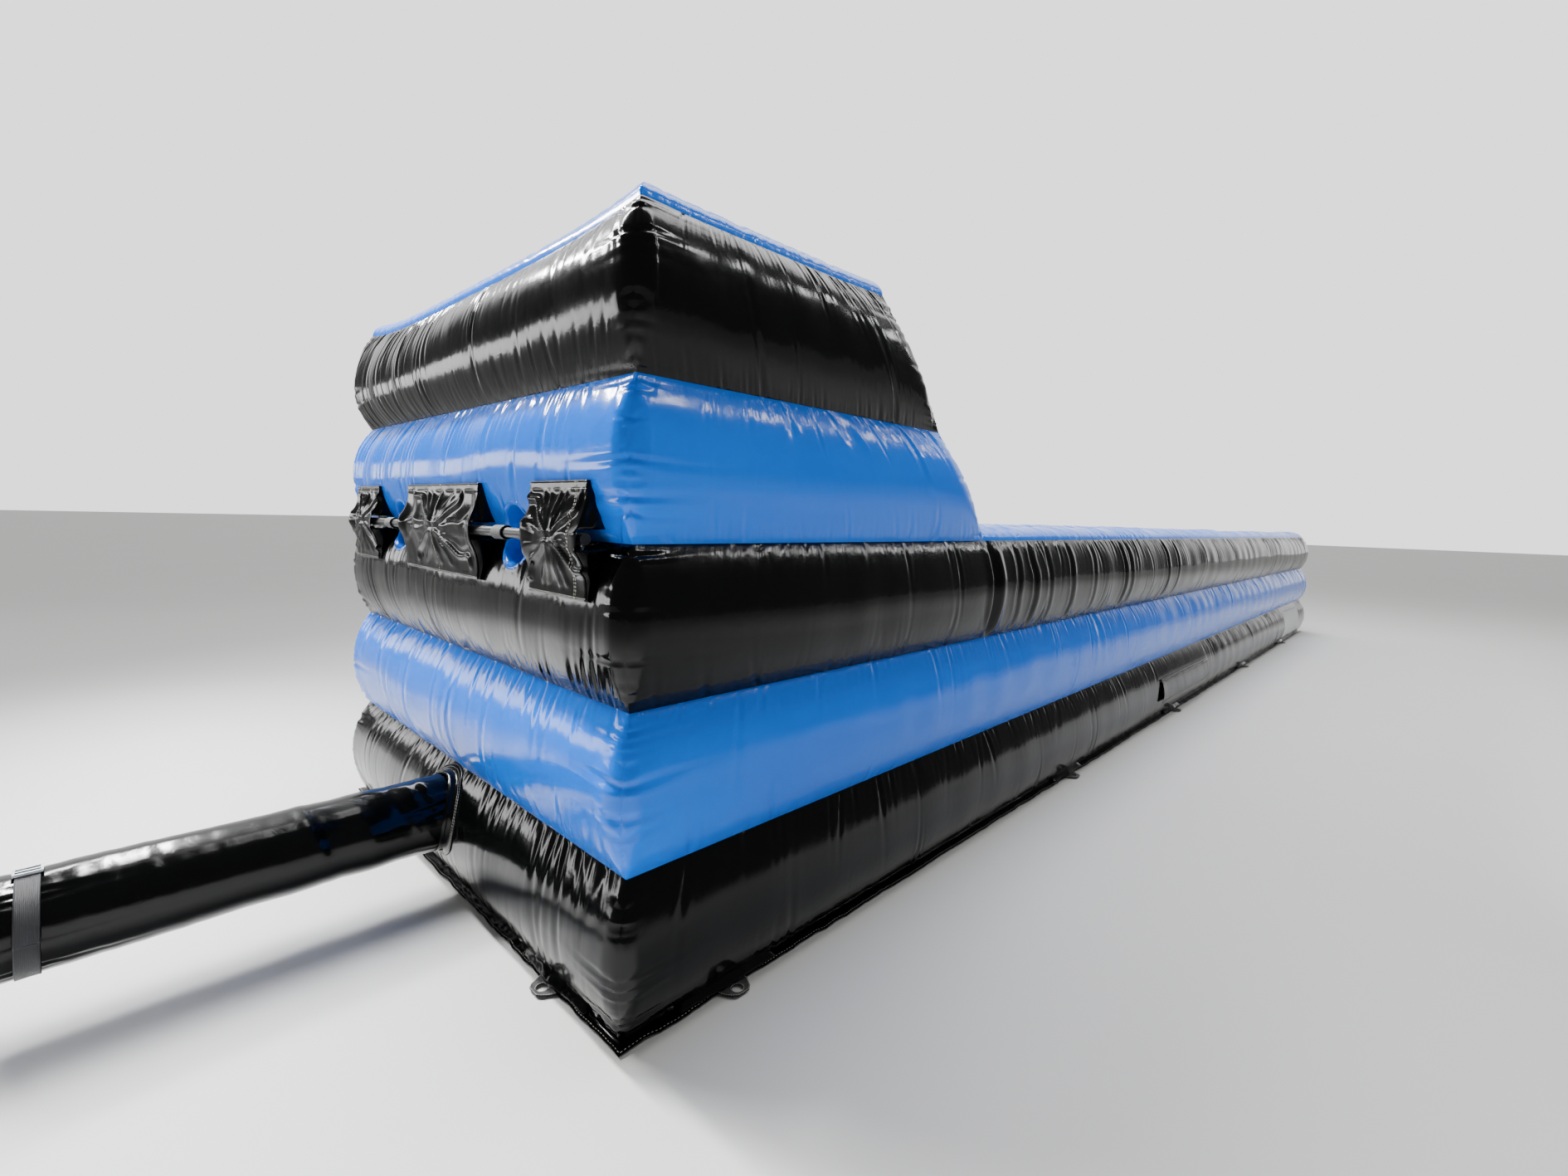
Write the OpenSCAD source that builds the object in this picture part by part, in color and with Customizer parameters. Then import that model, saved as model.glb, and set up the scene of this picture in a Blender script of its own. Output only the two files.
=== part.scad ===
/* [Body] */
// Width across the two long side seams
body_w = 2400; // [2000:10:3000]
// Length between the two end seams
body_l = 11800; // [9500:10:14500]
// Height of each band between its seams
band_h = 470; // [390:5:570]
// How far a band swells past its seams
swell = 80; // [60:1:90]
// Thickness of the coated fabric
skin = 3; // [2:0.5:4]
// Width of the seam flange round the base
flange = 40; // [30:1:50]

/* [Tower] */
// Depth of the tower's top
tower_top = 1100; // [900:10:1320]
// Depth of the tower below its slope
tower_foot = 1970; // [1800:10:2360]
// Radius of the two round ports
port_r = 100; // [84:1:120]

/* [Lanes] */
// Thickness of each outer wall
wall_t = 250; // [205:5:300]
// Thickness of the wall between the lanes
divider_t = 340; // [280:5:410]
// Rise of each tube of the lane floor
floor_rise = 30; // [15:1:40]
// Rise of the rounded top on a wall
cap_rise = 70; // [50:1:85]

/* [Bungee bar] */
// Diameter of the bar
bar_d = 34; // [26:1:42]
// Distance of the bar behind the back seams
bar_out = 85; // [80:1:95]
// Width of the middle sleeve
sleeve_mid_w = 730; // [600:5:740]
// Width of each end sleeve
sleeve_end_w = 340; // [280:5:400]
// Length of a strap from the bar to its ring
strap_l = 220; // [180:5:270]

/* [Inflation tube] */
// Diameter of the inflation tube
tube_d = 280; // [230:5:330]
// Length of the inflation tube outside the body
tube_l = 1200; // [600:10:2000]

/* [Side fittings] */
// Length of the zip cover
zip_l = 1340; // [900:10:1620]
// Width of the blank patch
patch_w = 1130; // [800:10:1300]
// Width of an anchor's webbing
web_w = 50; // [40:1:60]

/* [Hidden] */
$fn = 240;

hw = body_w / 2;
hl = body_l / 2;
yb = -hl;
yf = yb + tower_foot;
yt = yb + tower_top;
z1 = band_h;
z2 = 2 * band_h;
z3 = 3 * band_h;
z4 = 4 * band_h;
z5 = 5 * band_h;
lane_in = divider_t / 2;
lane_out = hw - wall_t;
lane_x = (lane_in + lane_out) / 2;
lane_half = (lane_out - lane_in) / 2;
slope = atan2(yf - yt, z5 - z3);
port_z = z3;
bar_z = port_z + 10;
bar_y = yb - bar_out;
bar_r = bar_d / 2;
bar_half = hw - 110;
sleeve_h = 0.72 * band_h;
sleeve_end_x = hw - 100 - sleeve_end_w / 2;
ring_r = 30;
wire_r = 4;
strap_drop = asin((port_r - 33.2) / strap_l);
tube_r = tube_d / 2;
tube_z = 0.64 * band_h;
tube_end = yb - swell - tube_l;
zip_y = yb + 0.455 * body_l;
zip_z = 0.51 * band_h;
patch_y = yb + 0.904 * body_l;
side_r = bow(z1 - skin, swell);
side_z = (skin + z1) / 2;
anchor_part = [0.0322, 0.2602, 0.4424, 0.6644, 0.861];
anchor_x = 0.35 * body_w;

// Radius of the arc that rises s over a chord of length h
function bow(h, s) = (h * h / 4 + s * s) / (2 * s);

// Side view of a band, with a swelling of s0 and s1 past its two seams
module band_face(a0, a1, za, zb, s0, s1) {
  translate([a0, za]) square([a1 - a0, zb - za]);
  if (s0 > 0)
    intersection() {
      translate([a0 - s0 + bow(zb - za, s0), (za + zb) / 2]) circle(bow(zb - za, s0));
      translate([a0 - s0 - 1, za]) square([s0 + 2, zb - za]);
    }
  if (s1 > 0)
    intersection() {
      translate([a1 + s1 - bow(zb - za, s1), (za + zb) / 2]) circle(bow(zb - za, s1));
      translate([a1 - 1, za]) square([s1 + 2, zb - za]);
    }
}

// Block whose sides swell past the seams: s = [-X, +X, -Y, +Y]
module pillow(xa, xb, ya, yb2, za, zb, s) {
  intersection() {
    translate([0, yb2 + 200, 0])
      rotate([90, 0, 0])
        linear_extrude(yb2 - ya + 400) band_face(xa, xb, za, zb, s[0], s[1]);
    translate([xa - 200, 0, 0])
      rotate([90, 0, 90])
        linear_extrude(xb - xa + 400) band_face(ya, yb2, za, zb, s[2], s[3]);
  }
}

// Long low mound: flat on top, rounded down to the seam over a run at each end
module mound_face(a0, a1, z, rise, run) {
  intersection() {
    union() {
      translate([a0 + run, z - 10]) square([a1 - a0 - 2 * run, rise + 10]);
      translate([a0 + run, z + rise - bow(2 * run, rise)]) circle(bow(2 * run, rise));
      translate([a1 - run, z + rise - bow(2 * run, rise)]) circle(bow(2 * run, rise));
    }
    translate([a0, z]) square([a1 - a0, rise + 5]);
  }
}

// Crown over a rectangle, rounded down over the same run on all four sides
module crown(xa, xb, ya, yb2, z, rise, run) {
  intersection() {
    translate([0, yb2, 0])
      rotate([90, 0, 0])
        linear_extrude(yb2 - ya) mound_face(xa, xb, z, rise, run);
    translate([xa, 0, 0])
      rotate([90, 0, 90])
        linear_extrude(xb - xa) mound_face(ya, yb2, z, rise, run);
  }
}

// Arc-topped rib along Y, standing on z
module rib(xa, xb, ya, yb2, z, rise) {
  translate([0, yb2, 0])
    rotate([90, 0, 0])
      linear_extrude(yb2 - ya)
        intersection() {
          translate([(xa + xb) / 2, z + rise - bow(xb - xa, rise)]) circle(bow(xb - xa, rise));
          translate([xa - 1, z]) square([xb - xa + 2, rise + 5]);
        }
}

// Hollow of a rib, in by the skin and open below
module rib_hollow(xa, xb, ya, yb2, z, rise) {
  m = 5 * skin;
  translate([0, yb2 - skin, 0])
    rotate([90, 0, 0])
      linear_extrude(yb2 - ya - 2 * skin)
        intersection() {
          translate([(xa + xb) / 2, z + rise - bow(xb - xa, rise)])
            circle(bow(xb - xa, rise) - skin);
          translate([xa + m, z - 2 * skin]) square([xb - xa - 2 * m, rise + 4 * skin]);
        }
}

// Everything in front of the tower's sloping face, moved back by d
module before_slope(d) {
  translate([-hw - 400, yf - d / cos(slope), z3])
    rotate([slope, 0, 0])
      translate([0, 0, -400])
        cube([body_w + 800, 3000, 4000]);
}

module port_rod(x, r) {
  translate([x, yf + 300, port_z])
    rotate([90, 0, 0])
      cylinder(h = tower_foot + 700, r = r);
}

module ports(r) {
  port_rod(-lane_x, r);
  port_rod(lane_x, r);
}

// Whole volume of one tower band, in by d from its outer face
module tower_fill(n, d) {
  pillow(-hw + d, hw - d, yb + d, yf, (n - 1) * band_h, n * band_h,
         [swell, swell, swell, 0]);
}

module tower_skin(n) {
  difference() {
    tower_fill(n, 0);
    pillow(-hw + skin, hw - skin, yb + skin, yf + 60, (n - 1) * band_h - 0.01,
           n * band_h + 0.01, [swell, swell, swell, 0]);
  }
}

module ground_sheet() {
  color("#15171a")
    translate([-hw - flange, -hl - flange, 0])
      cube([body_w + 2 * flange, body_l + 2 * flange, skin]);
}

module base_band() {
  color("#15171a")
    difference() {
      pillow(-hw, hw, -hl, hl, skin, z1, [swell, swell, swell, swell]);
      pillow(-hw + skin, hw - skin, -hl + skin, hl - skin, skin - 0.5, z1 + 0.5,
             [swell, swell, swell, swell]);
      translate([0, yb + 60, tube_z])
        rotate([90, 0, 0])
          cylinder(h = 400, r = tube_r - skin);
    }
}

module floor_web(x) {
  difference() {
    translate([x - skin / 2, yb + 40, skin + 0.5])
      cube([skin, body_l - 80, z1 - 2 * skin - 1]);
    for (i = [0 : 5])
      translate([x - 20, yb + (i + 0.5) * body_l / 6, z1 / 2])
        rotate([0, 90, 0])
          cylinder(h = 40, r = z1 / 6);
  }
}

// Upright webs that hold the base flat, with holes that let the air through
module floor_webs() {
  color("#3a6fa5")
    for (s = [-1, 1]) {
      floor_web(s * lane_x);
      floor_web(s * (lane_in + 20));
      floor_web(s * (lane_out - 20));
    }
}

// Top of the base on one side: flat below the walls and tower, two tubes in the lane
module lane_floor() {
  difference() {
    union() {
      translate([0, -hl + skin + 0.1, z1 - skin])
        cube([hw - skin - 0.1, body_l - 2 * skin - 0.2, skin]);
      for (i = [0, 1])
        rib(lane_in + i * lane_half + 0.5, lane_in + (i + 1) * lane_half - 0.5, yf, hl - skin - 5,
            z1 - 0.5, floor_rise);
    }
    for (i = [0, 1])
      rib_hollow(lane_in + i * lane_half + 0.5, lane_in + (i + 1) * lane_half - 0.5, yf,
                 hl - skin - 5, z1 - 0.5, floor_rise);
  }
}

module lane_floor_left() {
  color("#1766c2") mirror([1, 0, 0]) lane_floor();
}

module lane_floor_right() {
  color("#1766c2") lane_floor();
}

module tower_band_2() {
  color("#1766c2") tower_skin(2);
}

module tower_band_3() {
  color("#15171a")
    difference() {
      tower_skin(3);
      ports(port_r);
    }
}

module tower_band_4() {
  color("#1766c2")
    difference() {
      tower_skin(4);
      ports(port_r);
      before_slope(0);
    }
}

module tower_band_5() {
  color("#15171a")
    difference() {
      tower_skin(5);
      before_slope(0);
    }
}

module tower_roof() {
  color("#1766c2")
    difference() {
      crown(-hw, hw, yb, yt, z5, 60, 260);
      translate([0, 0, -0.001])
        crown(-hw + 6 * skin, hw - 6 * skin, yb + 6 * skin, yt - 6 * skin, z5, 60 - skin,
              260 - 6 * skin);
    }
}

// Front of the tower: upright above the floor, then sloping back to the roof
module tower_front() {
  color("#1766c2")
    difference() {
      translate([-hw + skin + 0.2, 0, 0])
        rotate([90, 0, 90])
          linear_extrude(body_w - 2 * skin - 0.4)
            polygon([[yf, z1], [yf, z3], [yt, z5], [yt - skin / cos(slope), z5],
                     [yf - skin, z3 - skin * (1 - sin(slope)) / cos(slope)], [yf - skin, z1]]);
      ports(port_r);
    }
}

module tie_sheet(xa, xb, ya, yb2, z, holes) {
  difference() {
    translate([xa, ya, z - skin / 2]) cube([xb - xa, yb2 - ya, skin]);
    for (i = [1 : holes])
      translate([(xa + xb) / 2, ya + (i - 0.5) * (yb2 - ya) / holes, z - 20])
        cylinder(h = 40, r = (xb - xa) / 6 < 150 ? (xb - xa) / 6 : 150);
  }
}

// Level sheets that tie the tower's seams together
module tower_ties() {
  color("#3a6fa5")
    difference() {
      union()
        for (n = [2 : 4])
          tie_sheet(-hw + skin + 0.2, hw - skin - 0.2, yb + skin + 0.2, yf - skin - 0.2,
                    n * band_h, 2);
      before_slope(skin + 0.5);
      ports(port_r + 2);
    }
}

module port_liner(s) {
  difference() {
    intersection() {
      port_rod(s * lane_x, port_r - 0.2);
      union() {
        tower_fill(3, 0);
        tower_fill(4, 0);
      }
    }
    port_rod(s * lane_x, port_r - 0.2 - skin);
    before_slope(0);
  }
}

module port_liner_left() {
  color("#1766c2") port_liner(-1);
}

module port_liner_right() {
  color("#1766c2") port_liner(1);
}

// One band of a wall, open at the end that meets the tower
module wall_skin(xa, xb, n, sa, sb) {
  difference() {
    pillow(xa, xb, yf, hl, (n - 1) * band_h, n * band_h, [sa, sb, 0, swell]);
    pillow(xa + skin, xb - skin, yf - 60, hl - skin, (n - 1) * band_h - 0.01,
           n * band_h + 0.01, [sa, sb, 0, swell]);
  }
}

module outer_wall(n) {
  wall_skin(lane_out, hw, n, 0.75 * swell, swell);
}

module wall_band_2_left() {
  color("#1766c2") mirror([1, 0, 0]) outer_wall(2);
}

module wall_band_2_right() {
  color("#1766c2") outer_wall(2);
}

module wall_band_3_left() {
  color("#15171a") mirror([1, 0, 0]) outer_wall(3);
}

module wall_band_3_right() {
  color("#15171a") outer_wall(3);
}

// Rounded top of a wall, run on until it meets the tower's slope
module wall_crown(xa, xb) {
  difference() {
    rib(xa, xb, yf - 200, hl, z3, cap_rise);
    rib_hollow(xa, xb, yf - 300, hl, z3, cap_rise);
    translate([-hw - 400, yf, z3])
      rotate([slope, 0, 0])
        translate([0, -900, -500])
          cube([body_w + 800, 900, 1500]);
  }
}

module wall_cap_left() {
  color("#1766c2") mirror([1, 0, 0]) wall_crown(lane_out, hw);
}

module wall_cap_right() {
  color("#1766c2") wall_crown(lane_out, hw);
}

module wall_tie_pair(xa, xb) {
  tie_sheet(xa + skin + 0.2, xb - skin - 0.2, yf + 5, hl - skin - 0.2, z2, 8);
  tie_sheet(xa + skin + 0.2, xb - skin - 0.2, yf + 5, hl - skin - 0.2, z3 - skin, 8);
}

module wall_ties_left() {
  color("#3a6fa5") mirror([1, 0, 0]) wall_tie_pair(lane_out, hw);
}

module wall_ties_right() {
  color("#3a6fa5") wall_tie_pair(lane_out, hw);
}

module divider_band_2() {
  color("#1766c2") wall_skin(-lane_in, lane_in, 2, 0.75 * swell, 0.75 * swell);
}

module divider_band_3() {
  color("#15171a") wall_skin(-lane_in, lane_in, 3, 0.75 * swell, 0.75 * swell);
}

module divider_cap() {
  color("#1766c2") wall_crown(-lane_in, lane_in);
}

module divider_ties() {
  color("#3a6fa5") wall_tie_pair(-lane_in, lane_in);
}

// Tube that carries air from a blower into the base
module inflation_tube() {
  color("#15171a")
    difference() {
      translate([0, yb - 4, tube_z])
        rotate([90, 0, 0])
          difference() {
            cylinder(h = swell + tube_l - 4, r = tube_r);
            translate([0, 0, -1]) cylinder(h = swell + tube_l, r = tube_r - skin);
          }
      pillow(-hw, hw, -hl, 0, skin, z1, [0, 0, swell, 0]);
    }
}

// Sewn patch round the root of the tube
module tube_collar() {
  color("#15171a")
    difference() {
      intersection() {
        translate([0, yb + 40, tube_z])
          rotate([90, 0, 0])
            cylinder(h = 300, r = tube_r + 28);
        pillow(-hw, hw, yb - skin, 0, skin, z1, [0, 0, swell + 0.3, 0]);
      }
      pillow(-hw - 5, hw + 5, yb - 0.3, 0, skin - 1, z1 + 1, [0, 0, swell, 0]);
      translate([0, yb + 60, tube_z])
        rotate([90, 0, 0])
          cylinder(h = 400, r = tube_r + 0.5);
    }
}

module tube_tie() {
  color("#1d1e20")
    translate([0, tube_end + 140, tube_z])
      rotate([90, 0, 0])
        difference() {
          cylinder(h = web_w, r = tube_r + 2.8);
          translate([0, 0, -1]) cylinder(h = web_w + 2, r = tube_r + 0.2);
        }
}

module tube_buckle() {
  color("#8d9196")
    translate([0, tube_end + 140 - web_w / 2, tube_z + tube_r + 3.2])
      difference() {
        translate([-22, -web_w / 2 - 5, 0]) cube([44, web_w + 10, 7]);
        translate([-15, -web_w / 2, -1]) cube([11, web_w, 9]);
        translate([4, -web_w / 2, -1]) cube([11, web_w, 9]);
      }
}

module bungee_bar() {
  color("#2a2c2f")
    translate([-bar_half, bar_y, bar_z])
      rotate([0, 90, 0])
        difference() {
          cylinder(h = 2 * bar_half, r = bar_r);
          translate([0, 0, -1]) cylinder(h = 2 * bar_half + 2, r = bar_r - 3);
        }
}

module bar_cap() {
  rotate([0, 90, 0]) {
    cylinder(h = 4, r = bar_r);
    translate([0, 0, -18]) cylinder(h = 18.5, r = bar_r - 3.05);
  }
}

module bar_caps() {
  color("#101113")
    translate([0, bar_y, bar_z]) {
      translate([bar_half + 0.02, 0, 0]) bar_cap();
      mirror([1, 0, 0]) translate([bar_half + 0.02, 0, 0]) bar_cap();
    }
}

// How far the sleeve stands out at a height of u half-heights from the bar
function sleeve_out(u, d) =
  swell - 1 + (bar_out + bar_r + 0.8 - swell + 1) * exp(-u * u * 7) + d;

module sleeve(x, w) {
  n = 24;
  translate([x - w / 2, yb, bar_z - 5])
    rotate([90, 0, 90])
      linear_extrude(w)
        polygon(concat(
          [for (i = [-n : n]) [-sleeve_out(i / n, 0), i / n * sleeve_h / 2]],
          [for (i = [-n : n]) [-sleeve_out(-i / n, skin), -i / n * sleeve_h / 2]]));
}

module sleeve_left() {
  color("#17181a") sleeve(-sleeve_end_x, sleeve_end_w);
}

module sleeve_middle() {
  color("#17181a") sleeve(0, sleeve_mid_w);
}

module sleeve_right() {
  color("#17181a") sleeve(sleeve_end_x, sleeve_end_w);
}

// Puts a piece drawn along +Y from the bar at the strap's resting angle
module at_strap(s) {
  translate([s * lane_x, bar_y, bar_z]) rotate([-strap_drop, 0, 0]) children();
}

// Webbing hitched round the bar, with a sewn tail that ends in a loop for the ring
module strap() {
  difference() {
    union() {
      translate([-37, 0, 0]) rotate([0, 90, 0]) cylinder(h = 74, r = bar_r + 7.5);
      translate([-web_w / 2, bar_r, -3]) cube([web_w, strap_l - bar_r, 6]);
      translate([-web_w / 2, strap_l, 0])
        rotate([0, 90, 0])
          cylinder(h = web_w, r = wire_r + 3);
    }
    translate([-60, 0, 0]) rotate([0, 90, 0]) cylinder(h = 120, r = bar_r + 0.5);
    translate([-60, strap_l, 0]) rotate([0, 90, 0]) cylinder(h = 120, r = wire_r + 0.4);
  }
}

module strap_left() {
  color("#1b1c1e") at_strap(-1) strap();
}

module strap_right() {
  color("#1b1c1e") at_strap(1) strap();
}

// D-shaped ring, hanging: a straight wire in the strap's loop and a half round
module ring() {
  translate([0, strap_l, 0])
    rotate([strap_drop - 90, 0, 0]) {
      translate([-ring_r, 0, 0]) rotate([0, 90, 0]) cylinder(h = 2 * ring_r, r = wire_r);
      difference() {
        rotate_extrude() translate([ring_r, 0]) circle(wire_r);
        translate([-60, -60, -20]) cube([120, 60, 40]);
      }
      for (s = [-1, 1])
        translate([s * ring_r, 0, 0]) sphere(wire_r);
    }
}

module ring_left() {
  color("#b9bdc1") at_strap(-1) ring();
}

module ring_right() {
  color("#b9bdc1") at_strap(1) ring();
}

// Runs its children at each anchor, with +X pointing away from the base seam
module at_side_anchors(s) {
  for (p = anchor_part)
    translate([s * hw, yb + p * body_l, 0]) rotate([0, 0, s > 0 ? 0 : 180]) children();
}

module at_back_anchors() {
  for (s = [-1, 1])
    translate([s * anchor_x, yb, 0]) rotate([0, 0, -90]) children();
}

// Flared vinyl patch that holds an anchor's webbing down on the flange
module gusset() {
  translate([0, 0, skin + 5.4])
    linear_extrude(2.5)
      polygon([[14, -200], [flange - 10, -200], [flange + 2, -70],
               [flange + 2, 70], [flange - 10, 200], [14, 200]]);
}

module anchor_gussets() {
  color("#15171a") {
    at_side_anchors(1) gusset();
    at_side_anchors(-1) gusset();
    at_back_anchors() gusset();
  }
}

// Flat eye of folded webbing that lies on the ground
module anchor_loop() {
  w = 1.3 * web_w;
  translate([0, 0, skin + 0.2])
    linear_extrude(5)
      difference() {
        polygon([[14, -w], [flange + 2, -0.9 * w], [flange + 38, -0.6 * w],
                 [flange + 52, -0.35 * w], [flange + 52, 0.35 * w], [flange + 38, 0.6 * w],
                 [flange + 2, 0.9 * w], [14, w]]);
        translate([flange + 22, 0]) circle(18);
      }
}

module anchor_loops_left() {
  color("#1d1e20") at_side_anchors(-1) anchor_loop();
}

module anchor_loops_right() {
  color("#1d1e20") at_side_anchors(1) anchor_loop();
}

module anchor_loops_back() {
  color("#1d1e20") at_back_anchors() anchor_loop();
}

// Sheet that follows the swelling of the base's right side, from d0 to d1 off its surface
module side_sheet(y, l, za, zb, d0, d1) {
  intersection() {
    translate([hw + swell - side_r, y + l / 2, side_z])
      rotate([90, 0, 0])
        difference() {
          cylinder(h = l, r = side_r + d1);
          translate([0, 0, -1]) cylinder(h = l + 2, r = side_r + d0);
        }
    translate([hw, y - l, za]) cube([swell + 60, 2 * l, zb - za]);
  }
}

module zip_flap() {
  color("#17181a") side_sheet(zip_y, zip_l, zip_z - 80, zip_z + 80, 14, 17);
}

module zip_binding() {
  color("#17181a") side_sheet(zip_y, zip_l, zip_z + 83, zip_z + 98, 0.2, 17);
}

// Zip tape with its row of teeth along the middle
module zip_tape() {
  color("#0f1012") {
    side_sheet(zip_y, zip_l - 60, zip_z - 20, zip_z + 20, 0.2, 2.2);
    side_sheet(zip_y, zip_l - 90, zip_z - 3, zip_z + 3, 2, 4.2);
  }
}

module zip_slider() {
  color("#9a9da1")
    difference() {
      side_sheet(zip_y - zip_l / 2 + 70, 30, zip_z - 9, zip_z + 9, 2.6, 9);
      side_sheet(zip_y - zip_l / 2 + 70, 34, zip_z - 3.6, zip_z + 3.6, 2, 4.7);
    }
}

module blank_patch() {
  color("#e9eaea") side_sheet(patch_y, patch_w, 0.16 * band_h, 0.89 * band_h, 0.2, 1.8);
}

ground_sheet();
base_band();
floor_webs();
lane_floor_left();
lane_floor_right();
tower_band_2();
tower_band_3();
tower_band_4();
tower_band_5();
tower_roof();
tower_front();
tower_ties();
port_liner_left();
port_liner_right();
wall_band_2_left();
wall_band_2_right();
wall_band_3_left();
wall_band_3_right();
wall_cap_left();
wall_cap_right();
wall_ties_left();
wall_ties_right();
divider_band_2();
divider_band_3();
divider_cap();
divider_ties();
inflation_tube();
tube_collar();
tube_tie();
tube_buckle();
bungee_bar();
bar_caps();
sleeve_left();
sleeve_middle();
sleeve_right();
strap_left();
strap_right();
ring_left();
ring_right();
anchor_gussets();
anchor_loops_left();
anchor_loops_right();
anchor_loops_back();
zip_flap();
zip_binding();
zip_tape();
zip_slider();
blank_patch();
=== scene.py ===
import math

import bmesh
import bpy
import numpy as np
from mathutils import Matrix, Vector


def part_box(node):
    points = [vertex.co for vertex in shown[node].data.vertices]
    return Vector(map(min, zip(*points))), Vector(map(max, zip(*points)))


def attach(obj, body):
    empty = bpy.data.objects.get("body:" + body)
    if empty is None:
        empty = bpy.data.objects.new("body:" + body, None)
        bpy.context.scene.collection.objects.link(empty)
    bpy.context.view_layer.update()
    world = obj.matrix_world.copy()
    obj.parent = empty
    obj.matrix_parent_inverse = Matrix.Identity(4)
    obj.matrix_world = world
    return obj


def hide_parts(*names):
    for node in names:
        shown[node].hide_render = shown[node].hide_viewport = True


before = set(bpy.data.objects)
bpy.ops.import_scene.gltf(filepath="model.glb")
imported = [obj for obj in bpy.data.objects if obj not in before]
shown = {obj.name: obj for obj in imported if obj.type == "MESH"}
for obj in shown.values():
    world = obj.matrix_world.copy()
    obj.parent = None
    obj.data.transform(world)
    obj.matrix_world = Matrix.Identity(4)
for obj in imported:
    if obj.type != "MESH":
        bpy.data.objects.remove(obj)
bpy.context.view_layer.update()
print("frame loaded")

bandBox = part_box("tower_band_2")
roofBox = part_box("tower_roof")
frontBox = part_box("tower_front")
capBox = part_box("wall_cap_right")
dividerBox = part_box("divider_cap")
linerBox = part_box("port_liner_right")
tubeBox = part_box("inflation_tube")
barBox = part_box("bungee_bar")

halfWidth = roofBox[1].x                     # side seams
backSeam = roofBox[0].y                      # seam line of the tower's back
farSeam = -backSeam                          # seam line of the open end
bandHeight = bandBox[1].z - bandBox[0].z
swell = bandBox[1].x - halfWidth             # how far a band stands past its seams
towerFront = frontBox[1].y
roofFront = roofBox[1].y
wallInner = capBox[0].x
dividerHalf = dividerBox[1].x
seamZ = [0.003] + [bandHeight * n for n in range(1, 6)]
slopeRun = (towerFront - roofFront) / (seamZ[5] - seamZ[3])   # metres back for each metre up
laneX = (linerBox[0].x + linerBox[1].x) / 2
portRadius = (linerBox[1].x - linerBox[0].x) / 2
portZ = (linerBox[0].z + linerBox[1].z) / 2
barY = (barBox[0].y + barBox[1].y) / 2
barZ = (barBox[0].z + barBox[1].z) / 2
barRadius = (barBox[1].z - barBox[0].z) / 2


def linearColour(hexText):
    values = [int(hexText[i:i + 2], 16) / 255 for i in (1, 3, 5)]
    return [v / 12.92 if v <= 0.04045 else ((v + 0.055) / 1.055) ** 2.4 for v in values] + [1.0]


randomTable = np.random.default_rng(11).random(8192)


def dice(k, seed):                           # one fixed random number from 0 to 1 for each whole number k
    return randomTable[(np.asarray(k, int) * 37 + seed * 911) % 8192]


def waver(x, seed):                          # smooth wandering line from -1 to 1
    k = np.floor(x)
    t = x - k
    t = t * t * (3 - 2 * t)
    return 2 * (dice(k, seed) * (1 - t) + dice(k + 1, seed) * t) - 1


def smoothStep(x, a, b):
    t = np.clip((x - a) / (b - a), 0, 1)
    return t * t * (3 - 2 * t)


def addObject(name, points, faces, material, body="envelope", maps=None, smooth=True):
    mesh = bpy.data.meshes.new(name)
    mesh.from_pydata(np.asarray(points, float).reshape(-1, 3).tolist(), [], faces)
    mesh.update()
    if smooth:
        mesh.polygons.foreach_set("use_smooth", [True] * len(mesh.polygons))
    if maps:
        loopVerts = np.zeros(len(mesh.loops), np.int32)
        mesh.loops.foreach_get("vertex_index", loopVerts)
        for mapName, values in maps.items():
            values = np.asarray(values, float)
            if values.ndim == 2:
                layer = mesh.uv_layers.new(name=mapName)
                layer.data.foreach_set("uv", values[loopVerts].astype(np.float32).ravel())
            else:
                layer = mesh.attributes.new(mapName, "FLOAT", "POINT")
                layer.data.foreach_set("value", values.astype(np.float32))
    mesh.materials.append(material)
    thing = bpy.data.objects.new(name, mesh)
    bpy.context.scene.collection.objects.link(thing)
    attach(thing, body)
    return thing


def gridFaces(rows, columns, closed=False, keep=None, start=0):
    faces = []
    last = columns if closed else columns - 1
    for j in range(rows - 1):
        for i in range(last):
            a = start + j * columns + i
            b = start + j * columns + (i + 1) % columns
            if keep is None or keep[j, i]:
                faces.append((a, b, b + columns, a + columns))
    return faces


def newMaterial(name):
    material = bpy.data.materials.new(name)
    material.use_nodes = True
    tree = material.node_tree
    return material, tree, tree.nodes["Principled BSDF"]


def addNode(tree, kind, settings=None, links=None):
    node = tree.nodes.new(kind)
    for key, value in (settings or {}).items():
        if isinstance(key, str) and hasattr(node, key):
            setattr(node, key, value)
        else:
            node.inputs[key].default_value = value
    for key, source in (links or {}).items():
        tree.links.new(source, node.inputs[key])
    return node


def noise(tree, vector, scale, detail, **more):
    settings = {"Scale": scale, "Detail": detail, **more}
    return addNode(tree, "ShaderNodeTexNoise", settings, {"Vector": vector}).outputs["Fac"]


def remap(tree, value, fromRange, toRange):
    settings = {"From Min": fromRange[0], "From Max": fromRange[1], "To Min": toRange[0],
                "To Max": toRange[1]}
    return addNode(tree, "ShaderNodeMapRange", settings, {"Value": value}).outputs["Result"]


def raised(tree, height, strength, distance, under=None):
    links = {"Height": height, "Normal": under} if under else {"Height": height}
    return addNode(tree, "ShaderNodeBump", {"Strength": strength, "Distance": distance},
                   links).outputs["Normal"]


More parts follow.
